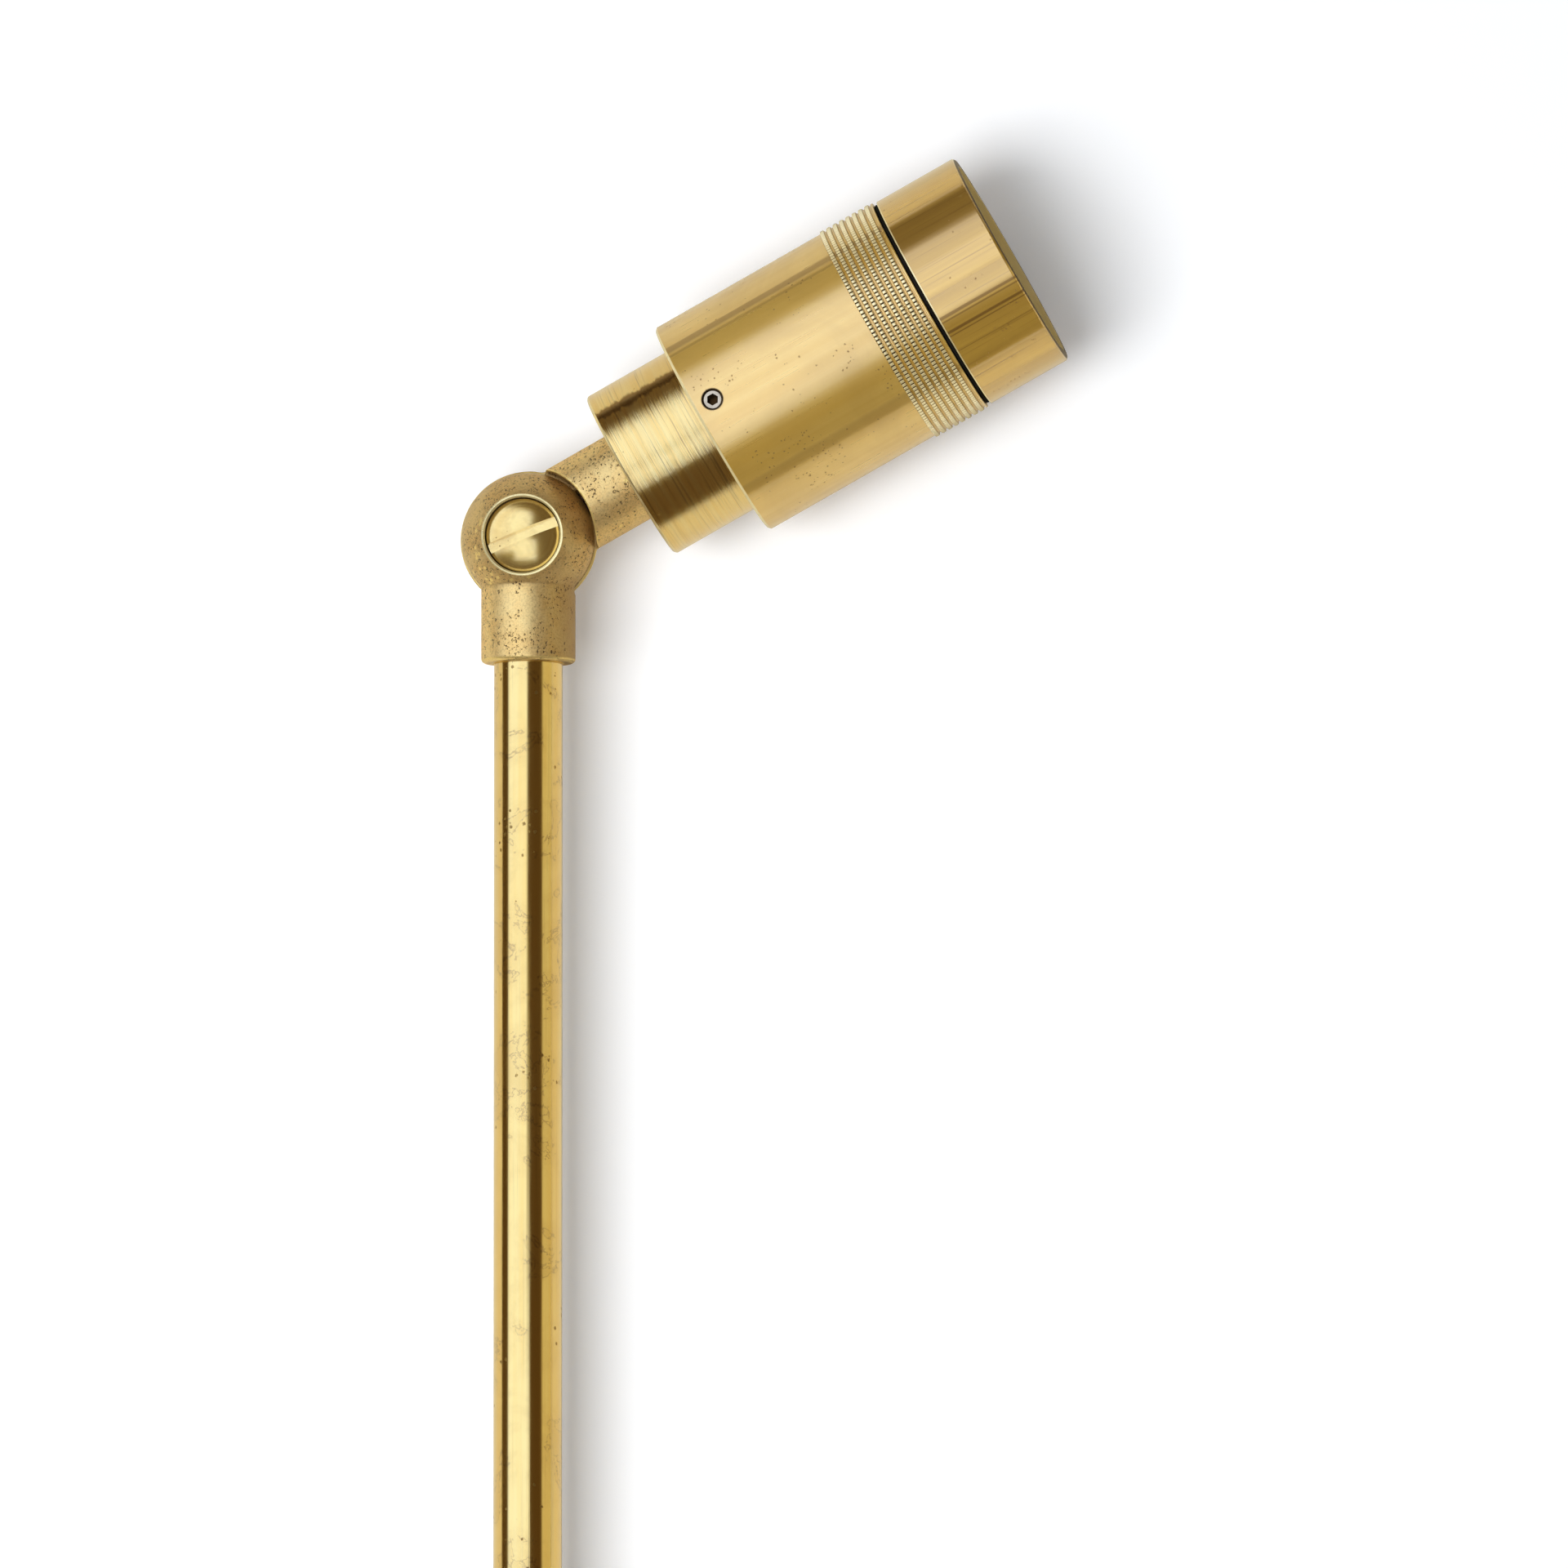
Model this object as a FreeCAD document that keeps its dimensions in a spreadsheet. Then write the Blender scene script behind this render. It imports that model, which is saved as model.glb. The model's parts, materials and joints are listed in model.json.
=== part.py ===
"""Garden spike spotlight: a turned brass lamp head on a slim pole with a pointed ground spike.

The part's own frame has its origin on the pole axis at ground level, +Z up the pole, and +X towards
the side that the head leans to. The swivel's hinge axis runs along Y through the middle of the ball,
and the slotted screw's head faces -Y. All sizes are in millimetres and degrees.

Head pieces are drawn in the head's frame: its Z is the barrel's axis, Z = 0 is level with the hinge,
and its X points to the barrel's lower side.
"""
import FreeCAD, Part
import math
import os
import re
import Sketcher

# Driving dimensions: name, value, meaning.
SIZES = [
    ("hinge_height", 320, "ground to the middle of the ball"),
    ("tube_diameter", 16, "pole tube, outside"),
    ("tube_wall", 1.2, "pole tube wall"),
    ("shank_diameter", 14, "round shank of the spike, below ground"),
    ("shank_length", 82, "straight part of the spike"),
    ("point_length", 62, "tapered part of the spike"),
    ("tip_diameter", 2, "blunted end of the point"),
    ("shoulder_height", 8, "spike's shoulder between the ground and the tube"),
    ("spigot_height", 24, "spike's spigot inside the tube"),
    ("pin_diameter", 4, "cross pin that holds the spike"),
    ("pin_height", 20, "cross pin above ground"),
    ("inlet_height", 45, "cable inlet above ground"),
    ("inlet_bore", 6, "bore of the cable grommet"),
    ("inlet_hole", 9, "hole in the tube for the grommet"),
    ("grommet_flange", 12, "grommet's flanges, diameter"),
    ("grommet_reach", 2.2, "grommet's reach outside the tube"),
    ("grommet_depth", 1.8, "grommet's reach inside the tube"),
    ("fit_gap", 0.02, "radial clearance of pinned and threaded fits"),
    ("turning_gap", 0.05, "radial clearance of fits that turn or slide"),
    ("ball_diameter", 31.2, "front half of the ball"),
    ("rear_ball_step", 0.5, "rear half of the ball, proud of the front half"),
    ("ball_gap", 0.9, "gap between the ball and the piece relieved round it"),
    ("rear_ball_gap", 0.5, "gap between the rear half of the ball and the collar"),
    ("split_gap", 1, "gap between the halves of the ball"),
    ("collar_diameter", 22, "collar under the ball"),
    ("collar_drop", 29, "middle of the ball to the collar's lower rim"),
    ("socket_floor", 1.6, "collar between the tube's end and the rear half of the ball"),
    ("rim_chamfer", 0.6, "chamfer on turned rims"),
    ("wire_bore", 7, "wire passage through collar and arm"),
    ("lead_diameter", 2, "insulated wire"),
    ("lead_spread", 1.2, "wire to the middle of the passage, across"),
    ("lead_set", 1.9, "wire to the split plane of the ball"),
    ("chamber_inner", 10.8, "wire chamber round the screw, inner diameter"),
    ("chamber_outer", 19.2, "wire chamber round the screw, outer diameter"),
    ("chamber_depth", 3.1, "wire chamber in each half of the ball"),
    ("friction_inner", 20.4, "friction washer, inner diameter"),
    ("friction_outer", 28.4, "friction washer, outer diameter"),
    ("screw_diameter", 8, "knuckle screw, shank"),
    ("screw_end_inset", 0.4, "end of the screw inside the knuckle nut"),
    ("screw_head_diameter", 17, "knuckle screw, head"),
    ("screw_head_height", 4.5, "knuckle screw, head with its dome"),
    ("screw_dome", 0.8, "rise of the screw head's dome"),
    ("slot_width", 2.4, "screw slot"),
    ("slot_depth", 2.3, "screw slot"),
    ("slot_angle", 22, "screw slot above horizontal"),
    ("counterbore_diameter", 17.7, "seat of the screw head"),
    ("counterbore_depth", 6.05, "counterbore, from its mouth on the ball"),
    ("counterbore_chamfer", 0.5, "chamfer at the counterbore's mouth"),
    ("spring_washer_height", 1.6, "spring washer under the screw head"),
    ("spring_washer_outer", 14.6, "spring washer, outer diameter"),
    ("spring_washer_split", 1.2, "split in the spring washer"),
    ("nut_flats", 13, "knuckle nut across flats"),
    ("nut_height", 6.5, "knuckle nut"),
    ("nut_pocket_depth", 8.4, "nut's pocket, from the rear of the ball"),
    ("head_elevation", 29.2, "barrel's axis above horizontal"),
    ("axis_offset", 1.1, "barrel's axis above the hinge"),
    ("arm_diameter", 22, "cast arm"),
    ("arm_length", 28.1, "hinge to the rear face of the neck housing"),
    ("spigot_thread", 16, "arm's threaded spigot"),
    ("spigot_length", 11, "arm's threaded spigot"),
    ("lock_nut_flats", 22, "arm lock nut across flats"),
    ("lock_nut_height", 5, "arm lock nut"),
    ("seal_inner", 17.9, "neck seal ring, inner diameter"),
    ("seal_outer", 20.9, "neck seal ring, outer diameter"),
    ("seal_depth", 1.2, "neck seal ring's groove"),
    ("neck_diameter", 42, "neck housing"),
    ("neck_length", 21.9, "neck housing in front of its rear face, as far as the sleeve"),
    ("neck_floor", 3, "rear wall of the neck housing"),
    ("neck_bore", 37, "inside of the neck housing"),
    ("flange_inset", 0.3, "neck's flange behind the sleeve's rear end"),
    ("flange_length", 12.6, "neck's flange inside the sleeve"),
    ("sleeve_ring_seat", 8, "O-ring groove from the back of the flange"),
    ("sleeve_ring_size", 2.4, "O-ring between the neck's flange and the sleeve"),
    ("sleeve_diameter", 54, "main sleeve and bezel"),
    ("sleeve_wall", 1.5, "main sleeve"),
    ("sleeve_length", 58.6, "main sleeve"),
    ("knurl_length", 14.1, "grip band at the sleeve's front end"),
    ("knurl_rise", 0.5, "grip band's ridges above the sleeve"),
    ("knurl_pitch", 1.7, "ridge to ridge"),
    ("knurl_groove", 0.7, "width of the grooves between ridges"),
    ("knurl_ridges", 8, "ridges of the grip band"),
    ("grub_diameter", 5, "sleeve grub screw"),
    ("grub_length", 5, "sleeve grub screw"),
    ("grub_seat", 0.5, "grub screw's outer end under the sleeve's surface"),
    ("grub_socket_flats", 2.5, "grub screw's hex socket"),
    ("grub_socket_depth", 2.5, "grub screw's hex socket"),
    ("grub_setback", 4.85, "grub screw from the sleeve's rear end"),
    ("grub_turn", 4.8, "first grub screw, turned up from the side of the screw head"),
    ("bezel_gap", 1, "gap between sleeve and bezel"),
    ("bezel_length", 20.8, "front bezel outside the sleeve"),
    ("bezel_spigot", 9, "front bezel inside the sleeve"),
    ("bezel_bore", 46.6, "inside of the bezel behind its lip"),
    ("hood_bore", 49.2, "recess in front of the lip"),
    ("hood_depth", 11.7, "rim to the lip"),
    ("lip_bore", 43.6, "lip that the glass bears on"),
    ("lip_thickness", 1.5, "lip that the glass bears on"),
    ("glass_diameter", 46.2, "front glass"),
    ("glass_thickness", 3, "front glass"),
    ("gasket_thickness", 1, "glass gasket"),
    ("ring_thickness", 2.5, "glass retaining ring"),
    ("ring_notch", 3, "key notches of the glass retaining ring"),
    ("cushion_thickness", 2.4, "ring between the bezel's spigot and the lamp"),
    ("cushion_bore", 45, "ring between the bezel's spigot and the lamp"),
    ("lamp_diameter", 50, "reflector lamp's rim"),
    ("lamp_length", 45, "reflector lamp with its pins"),
    ("lamp_rim", 3.5, "reflector lamp's rim"),
    ("lamp_depth", 33, "reflector's curve, rim to its pole"),
    ("lamp_skin", 1.2, "reflector's wall"),
    ("lamp_throat", 3.6, "height of the lamp's base"),
    ("lamp_base_width", 16, "lamp's base, across the pins"),
    ("lamp_base_depth", 10, "lamp's base"),
    ("lamp_plug", 13.2, "cement plug in the lamp's throat"),
    ("lamp_plug_height", 2.5, "cement plug in the lamp's throat"),
    ("pin_spacing", 5.33, "lamp pins, centre to centre"),
    ("lamp_pin_diameter", 1.5, "lamp pins"),
    ("lamp_pin_length", 7.5, "lamp pins"),
    ("capsule_diameter", 9.2, "lamp capsule"),
    ("capsule_length", 12.5, "lamp capsule below its dome"),
    ("capsule_wall", 1, "lamp capsule"),
    ("filament_diameter", 1.4, "filament coil"),
    ("filament_length", 5, "filament coil"),
    ("cover_thickness", 1.5, "lamp's cover glass"),
    ("holder_gap", 0.7, "lamp's base to the lampholder"),
    ("holder_height", 10, "lampholder"),
    ("holder_width", 17, "lampholder"),
    ("holder_depth", 12, "lampholder"),
    ("ear_span", 28, "lampholder's ears, tip to tip"),
    ("ear_height", 2.5, "lampholder's ears"),
    ("ear_depth", 9, "lampholder's ears"),
    ("contact_diameter", 2.4, "socket for a lamp pin"),
    ("contact_wall", 0.4, "spring contact in a lamp pin's socket"),
    ("holder_screw_diameter", 3, "lampholder screws"),
    ("holder_screw_spacing", 23, "lampholder screws, centre to centre"),
    ("holder_screw_head", 5.5, "lampholder screw heads"),
    ("holder_screw_head_height", 1.8, "lampholder screw heads"),
    ("holder_screw_slot", 0.8, "lampholder screws' slots"),
    ("holder_screw_length", 6, "lampholder screws under the head"),
    ("bracket_width", 19, "lampholder bracket"),
    ("bracket_span", 30, "lampholder bracket, outside"),
    ("bracket_sheet", 1, "lampholder bracket's sheet"),
    ("bracket_foot", 8, "lampholder bracket's turned-in feet"),
]

# The ball: radii, and places across it from its middle.
FRONT_BALL = "(ball_diameter / 2)"
REAR_BALL = f"({FRONT_BALL} + rear_ball_step)"
ARM_RELIEF = f"({FRONT_BALL} + ball_gap)"
COLLAR_RELIEF = f"({REAR_BALL} + rear_ball_gap)"
HALF_SPLIT = "(split_gap / 2)"
COUNTERBORE_MOUTH = f"sqrt({FRONT_BALL} ^ 2 - (counterbore_diameter / 2) ^ 2)"
COUNTERBORE_FLOOR = f"({COUNTERBORE_MOUTH} - counterbore_depth)"
SCREW_SEAT = f"({COUNTERBORE_FLOOR} + spring_washer_height + 2 * fit_gap)"
NUT_SEAT = f"({REAR_BALL} - nut_pocket_depth)"
SCREW_END = f"({NUT_SEAT} + nut_height - screw_end_inset)"
SCREW_HOLE = "(screw_diameter / 2 + turning_gap)"

# Places along the pole, from the ground.
SOCKET_TOP = f"(hinge_height - {COLLAR_RELIEF} - socket_floor)"
LEAD_START = "(inlet_height + 15)"

# Places along the barrel's axis, from the hinge.
SLEEVE_REAR = "(arm_length + neck_length)"
SLEEVE_FRONT = f"({SLEEVE_REAR} + sleeve_length)"
FLANGE_REAR = f"({SLEEVE_REAR} + flange_inset)"
FLANGE_FRONT = f"({FLANGE_REAR} + flange_length)"
NECK_INSIDE = "(arm_length + neck_floor)"
BEZEL_REAR = f"({SLEEVE_FRONT} + bezel_gap)"
BEZEL_FRONT = f"({BEZEL_REAR} + bezel_length)"
SPIGOT_REAR = f"({BEZEL_REAR} - bezel_spigot)"
LIP_FRONT = f"({BEZEL_FRONT} - hood_depth)"
LIP_REAR = f"({LIP_FRONT} - lip_thickness)"
GLASS_FRONT = f"({LIP_REAR} - gasket_thickness)"
GLASS_REAR = f"({GLASS_FRONT} - glass_thickness)"
LAMP_FRONT = f"({SPIGOT_REAR} - cushion_thickness)"
LAMP_SHOULDER = f"({LAMP_FRONT} - lamp_rim)"
LAMP_PIN_END = f"({LAMP_FRONT} - lamp_length)"
LAMP_BASE = f"({LAMP_PIN_END} + lamp_pin_length)"
LAMP_THROAT = f"({LAMP_BASE} + lamp_throat)"
CAPSULE_REAR = f"({LAMP_THROAT} + lamp_plug_height)"
CAPSULE_DOME = f"({CAPSULE_REAR} + capsule_length)"
HOLDER_FRONT = f"({LAMP_BASE} - holder_gap)"
HOLDER_REAR = f"({HOLDER_FRONT} - holder_height)"

# Radii that several pieces share.
TUBE_INSIDE = "(tube_diameter / 2 - tube_wall)"
SLEEVE_RADIUS = "(sleeve_diameter / 2)"
SLEEVE_INSIDE = "(sleeve_diameter / 2 - sleeve_wall)"

NAMES = {name for name, _, _ in SIZES}
WORD = re.compile(r"[a-z][a-z_]*[a-z]")
TURNS = {
    "X": FreeCAD.Rotation(FreeCAD.Vector(0, 1, 0), 90),
    "Y": FreeCAD.Rotation(FreeCAD.Vector(1, 0, 0), -90),
    "Z": FreeCAD.Rotation(),
}

doc = FreeCAD.newDocument("garden_spike_spotlight")
pieces = []


def make_sheet():
    """The spreadsheet with one named cell for each driving dimension."""
    sheet = doc.addObject("Spreadsheet::Sheet", "Sizes")
    for row, (name, value, meaning) in enumerate(SIZES, start=1):
        sheet.set(f"A{row}", meaning)
        sheet.set(f"B{row}", str(value))
        sheet.setAlias(f"B{row}", name)
    doc.recompute()


def formula(text):
    """The text with each size's name pointed at its cell in the spreadsheet."""
    return WORD.sub(lambda word: f"Sizes.{word[0]}" if word[0] in NAMES else word[0], str(text))


def bind(thing, **formulas):
    """Bind properties of an object to formulas of the sizes."""
    for name, text in formulas.items():
        thing.setExpression(name, formula(text))


def make_frame(name, place, axis, angle):
    """An empty carrier whose placement the pieces drawn in its frame follow."""
    frame = doc.addObject("Part::Feature", name)
    spot = "; ".join(place)
    frame.setExpression("Placement", formula(
        f"create(<<placement>>; create(<<vector>>; {spot}); "
        f"create(<<rotation>>; create(<<vector>>; {axis}); {angle}))"))
    return frame


def finish(label, shape_object, frame):
    """Give a finished piece its name and its place, and keep it for export."""
    shape_object.Label = label
    shape_object.setExpression("Placement", f"{frame.Name}.Placement")
    pieces.append(shape_object)


def outline(body, name, corners):
    """A closed sketch on the body's XZ plane; corners are (across, along) formulas.

    The corners start on a small circle, and the solver takes each one to its place.
    """
    sketch = body.newObject("Sketcher::SketchObject", name)
    plane = [item for item in body.Origin.OriginFeatures if item.Role == "XZ_Plane"][0]
    sketch.AttachmentSupport = (plane, [""])
    sketch.MapMode = "FlatFace"
    count = len(corners)
    steps = [2 * math.pi * index / count for index in range(count)]
    points = [FreeCAD.Vector(20 + 5 * math.cos(step), 5 * math.sin(step), 0) for step in steps]
    for index in range(count):
        sketch.addGeometry(Part.LineSegment(points[index], points[(index + 1) % count]), False)
    for index, corner in enumerate(corners):
        sketch.addConstraint(Sketcher.Constraint("Coincident", index, 2, (index + 1) % count, 1))
        starts = (points[index].x, points[index].y)
        for kind, start, text in zip(("DistanceX", "DistanceY"), starts, corner):
            number = sketch.addConstraint(Sketcher.Constraint(kind, -1, 1, index, 1, start))
            sketch.setExpression(f"Constraints[{number}]", formula(text))
    return sketch


def turned(name, corners):
    """A body of revolution about Z; corners are (radius, height) formulas."""
    body = doc.addObject("PartDesign::Body", name)
    sketch = outline(body, f"{name}_profile", corners)
    revolution = body.newObject("PartDesign::Revolution", f"{name}_turned")
    revolution.Profile = sketch
    revolution.ReferenceAxis = (sketch, ["V_Axis"])
    revolution.Angle = 360
    body.Tip = revolution
    return body


def ring(name, inner, outer, low, high):
    """A plain turned ring between two radii and two heights."""
    return turned(name, [(inner, low), (outer, low), (outer, high), (inner, high)])


def disc(name, radius, low, high):
    """A plain turned disc between two heights."""
    return turned(name, [("0", low), (radius, low), (radius, high), ("0", high)])


def primitive(kind, name, place, axis, sizes):
    """A Part primitive with its own Z along the given axis."""
    solid = doc.addObject(kind, name)
    solid.Placement = FreeCAD.Placement(FreeCAD.Vector(), TURNS[axis])
    bind(solid, **sizes)
    for letter, text in zip("xyz", place):
        solid.setExpression(f"Placement.Base.{letter}", formula(text))
    return solid


def cylinder(name, radius, length, place=("0", "0", "0"), axis="Z"):
    return primitive("Part::Cylinder", name, place, axis, {"Radius": radius, "Height": length})


def cone(name, start_radius, end_radius, length, place, axis="Z"):
    sizes = {"Radius1": start_radius, "Radius2": end_radius, "Height": length}
    return primitive("Part::Cone", name, place, axis, sizes)


def hexagon(name, flats, length, place, axis="Z"):
    """A hexagonal bar, given across its flats."""
    solid = primitive("Part::Prism", name, place, axis,
                      {"Circumradius": f"({flats}) / 2 / cos(30)", "Height": length})
    solid.Polygon = 6
    return solid


def sphere(name, radius, place=("0", "0", "0"), axis="Z"):
    return primitive("Part::Sphere", name, place, axis, {"Radius": radius})


def torus(name, ring_radius, wire_radius, place):
    return primitive("Part::Torus", name, place, "Z", {"Radius1": ring_radius, "Radius2": wire_radius})


def block(name, spans):
    """A box between low and high formulas along X, Y and Z."""
    sides = {side: f"({high}) - ({low})" for side, (low, high) in zip(("Length", "Width", "Height"), spans)}
    return primitive("Part::Box", name, [low for low, _ in spans], "Z", sides)


def centred(size):
    """The span of a size laid evenly about zero."""
    return (f"-({size}) / 2", f"({size}) / 2")


def fused(name, *shapes):
    solid = doc.addObject("Part::MultiFuse", name)
    solid.Shapes = list(shapes)
    return solid


def cut(name, base, *tools):
    """The base with every tool taken away."""
    solid = doc.addObject("Part::Cut", name)
    solid.Base = base
    solid.Tool = tools[0] if len(tools) == 1 else fused(f"{name}_tools", *tools)
    return solid


def common(name, first, second):
    solid = doc.addObject("Part::MultiCommon", name)
    solid.Shapes = [first, second]
    return solid


def seated(name, solid):
    """A single primitive that keeps its own place within its frame."""
    holder = doc.addObject("Part::Compound", name)
    holder.Links = [solid]
    return holder


def mirrored_pair(maker, name, offset):
    """Two copies of a solid, one each side of the middle plane X = 0."""
    return [maker(f"{name}_{side}", f"{sign} * ({offset})") for side, sign in (("near", -1), ("far", 1))]


def lie_radially(solid, start_radius, height, angle):
    """Lay a solid's own Z along a radius that starts off the -Y side and turns towards -X."""
    solid.setExpression("Placement", formula(
        f"create(<<placement>>; create(<<vector>>; -sin({angle}) * ({start_radius}); "
        f"-cos({angle}) * ({start_radius}); {height}); "
        f"create(<<rotation>>; create(<<vector>>; cos({angle}); -sin({angle}); 0); 90))"))
    return solid


# ---------------------------------------------------------------- pole


def cross_pin_hole(name):
    half = "(tube_diameter / 2 + 1)"
    return cylinder(name, "pin_diameter / 2 + fit_gap", f"2 * {half}", ("0", f"-{half}", "pin_height"), "Y")


def make_ground_spike(frame):
    """Solid spike: shoulder on the ground line, shank and point below, spigot in the tube."""
    spigot = f"{TUBE_INSIDE} - fit_gap"
    top = "shoulder_height + spigot_height"
    body = turned("spike_turned", [
        ("0", "-shank_length - point_length"),
        ("tip_diameter / 2", "-shank_length - point_length"),
        ("shank_diameter / 2", "-shank_length"),
        ("shank_diameter / 2", "0"),
        ("tube_diameter / 2", "0"),
        ("tube_diameter / 2", "shoulder_height"),
        (spigot, "shoulder_height"),
        (spigot, f"{top} - rim_chamfer"),
        (f"{spigot} - rim_chamfer", top),
        ("0", top),
    ])
    finish("ground_spike", cut("spike_drilled", body, cross_pin_hole("spike_pin_hole")), frame)


def make_spike_pin(frame):
    """Cross pin, a little short of the tube's outside at both ends."""
    length = "(tube_diameter - 2 * tube_wall + 1.6)"
    pin = cylinder("pin_bar", "pin_diameter / 2", length, ("0", f"-{length} / 2", "pin_height"), "Y")
    finish("spike_pin", seated("pin_seated", pin), frame)


def make_pole_tube(frame):
    """Tube from the spike's shoulder to the top of the knuckle's socket."""
    body = ring("tube_turned", TUBE_INSIDE, "tube_diameter / 2", "shoulder_height", SOCKET_TOP)
    inlet = cylinder("tube_inlet_hole", "inlet_hole / 2", "tube_diameter",
                     ("-tube_diameter", "0", "inlet_height"), "X")
    finish("pole_tube", cut("tube_drilled", body, cross_pin_hole("tube_pin_hole"), inlet), frame)


def make_cable_grommet(frame):
    """Rubber bush that grips the tube's wall between two flanges."""
    outer_end = "-(tube_diameter / 2 + grommet_reach)"
    inner_end = f"-({TUBE_INSIDE} - grommet_depth)"
    length = f"({inner_end}) - ({outer_end})"
    start = (outer_end, "0", "inlet_height")
    flanges = cylinder("grommet_flanges", "grommet_flange / 2", length, start, "X")
    wall = ring("grommet_wall", TUBE_INSIDE, "tube_diameter / 2",
                "inlet_height - grommet_flange", "inlet_height + grommet_flange")
    neck = cylinder("grommet_neck", "inlet_hole / 2 - fit_gap", length, start, "X")
    hollow = cylinder("grommet_bore", "inlet_bore / 2", length, start, "X")
    bush = fused("grommet_solid", cut("grommet_grooved", flanges, wall), neck)
    finish("cable_grommet", cut("grommet_drilled", bush, hollow), frame)


def make_pole_leads(frame):
    """Two insulated wires from above the inlet to the ball's wire chamber."""
    top = "(hinge_height - chamber_inner / 2 - 1.2)"

    def lead(name, offset):
        return cylinder(name, "lead_diameter / 2", f"{top} - {LEAD_START}",
                        (offset, "-lead_set", LEAD_START))

    pair = mirrored_pair(lead, "pole_lead", "lead_spread")
    finish("pole_leads", fused("pole_lead_pair", *pair), frame)


# ---------------------------------------------------------------- knuckle


def ring_chamber(name, start):
    """Ring-shaped wire chamber round the knuckle screw, starting at the given Y."""
    outer = cylinder(f"{name}_outer", "chamber_outer / 2", "chamber_depth", ("0", start, "0"), "Y")
    inner = cylinder(f"{name}_inner", "chamber_inner / 2", "chamber_depth", ("0", start, "0"), "Y")
    return cut(name, outer, inner)


def make_lower_knuckle(frame):
    """Cast collar with the front half of the ball, drawn about the hinge."""
    ball = sphere("front_ball", FRONT_BALL, axis="Y")
    collar = turned("collar_turned", [
        ("0", "-collar_drop"),
        ("collar_diameter / 2 - rim_chamfer", "-collar_drop"),
        ("collar_diameter / 2", "-collar_drop + rim_chamfer"),
        ("collar_diameter / 2", "0"),
        ("0", "0"),
    ])
    front = ("0", f"-{FRONT_BALL}", "0")
    tools = [
        cylinder("collar_relief", COLLAR_RELIEF, "ball_diameter", ("0", f"-{HALF_SPLIT}", "0"), "Y"),
        cylinder("tube_socket", "tube_diameter / 2 + fit_gap", f"{SOCKET_TOP} - hinge_height + collar_drop",
                 ("0", "0", "-collar_drop")),
        cylinder("collar_wire_bore", "wire_bore / 2", "collar_drop - chamber_outer / 2 + 2",
                 ("0", "0", "-collar_drop")),
        ring_chamber("front_chamber", f"-{HALF_SPLIT} - chamber_depth"),
        cylinder("front_screw_hole", SCREW_HOLE, "ball_diameter", front, "Y"),
        cylinder("counterbore", "counterbore_diameter / 2", f"{FRONT_BALL} - {COUNTERBORE_FLOOR}", front, "Y"),
        cone("counterbore_chamfer_cone", "counterbore_diameter / 2 + 2 * counterbore_chamfer",
             "counterbore_diameter / 2", "2 * counterbore_chamfer",
             ("0", f"-{COUNTERBORE_MOUTH} - counterbore_chamfer / 2", "0"), "Y"),
    ]
    solid = fused("lower_knuckle_solid", ball, collar)
    finish("lower_knuckle", cut("lower_knuckle_cast", solid, *tools), frame)


def make_friction_washer(frame):
    """Fibre washer between the halves of the ball, lying on the front half."""
    start = ("0", f"-{HALF_SPLIT}", "0")
    thickness = "split_gap - fit_gap"
    disc = cylinder("friction_disc", "friction_outer / 2", thickness, start, "Y")
    hole = cylinder("friction_hole", "friction_inner / 2", thickness, start, "Y")
    finish("knuckle_friction_washer", cut("friction_ring", disc, hole), frame)


def make_spring_washer(frame):
    """Split spring washer between the counterbore's floor and the screw head."""
    start = ("0", f"-{COUNTERBORE_FLOOR} - spring_washer_height - fit_gap", "0")
    disc = cylinder("spring_disc", "spring_washer_outer / 2", "spring_washer_height", start, "Y")
    hole = cylinder("spring_hole", SCREW_HOLE, "spring_washer_height", start, "Y")
    split = block("spring_split", [centred("spring_washer_split"),
                                   (start[1], f"{start[1]} + spring_washer_height"),
                                   ("-spring_washer_outer", "0")])
    finish("knuckle_spring_washer", cut("spring_ring", disc, hole, split), frame)


def make_knuckle_screw(frame):
    """Slotted screw with a domed head; the dome is a slice of a large sphere."""
    dome_radius = "((screw_head_diameter / 2) ^ 2 / (2 * screw_dome) + screw_dome / 2)"
    head_end = f"-({SCREW_SEAT} + screw_head_height)"
    head = cylinder("screw_head_bar", "screw_head_diameter / 2", "screw_head_height + screw_dome",
                    ("0", f"{head_end} - screw_dome", "0"), "Y")
    dome = sphere("screw_dome_ball", dome_radius, ("0", f"{head_end} + {dome_radius}", "0"), "Y")
    shank = cylinder("screw_shank", "screw_diameter / 2", f"{SCREW_SEAT} + {SCREW_END}",
                     ("0", f"-{SCREW_SEAT}", "0"), "Y")
    slot = block("screw_slot", [centred("2 * screw_head_diameter"),
                                (f"{head_end} - 1", f"{head_end} + slot_depth"),
                                centred("slot_width")])
    slot.setExpression("Placement", formula(
        f"create(<<placement>>; create(<<vector>>; "
        f"-screw_head_diameter * cos(slot_angle) + slot_width / 2 * sin(slot_angle); {head_end} - 1; "
        f"-screw_head_diameter * sin(slot_angle) - slot_width / 2 * cos(slot_angle)); "
        f"create(<<rotation>>; create(<<vector>>; 0; 1; 0); -slot_angle))"))
    body = fused("screw_solid", common("screw_head_domed", head, dome), shank)
    finish("knuckle_screw", cut("screw_slotted", body, slot), frame)


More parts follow.
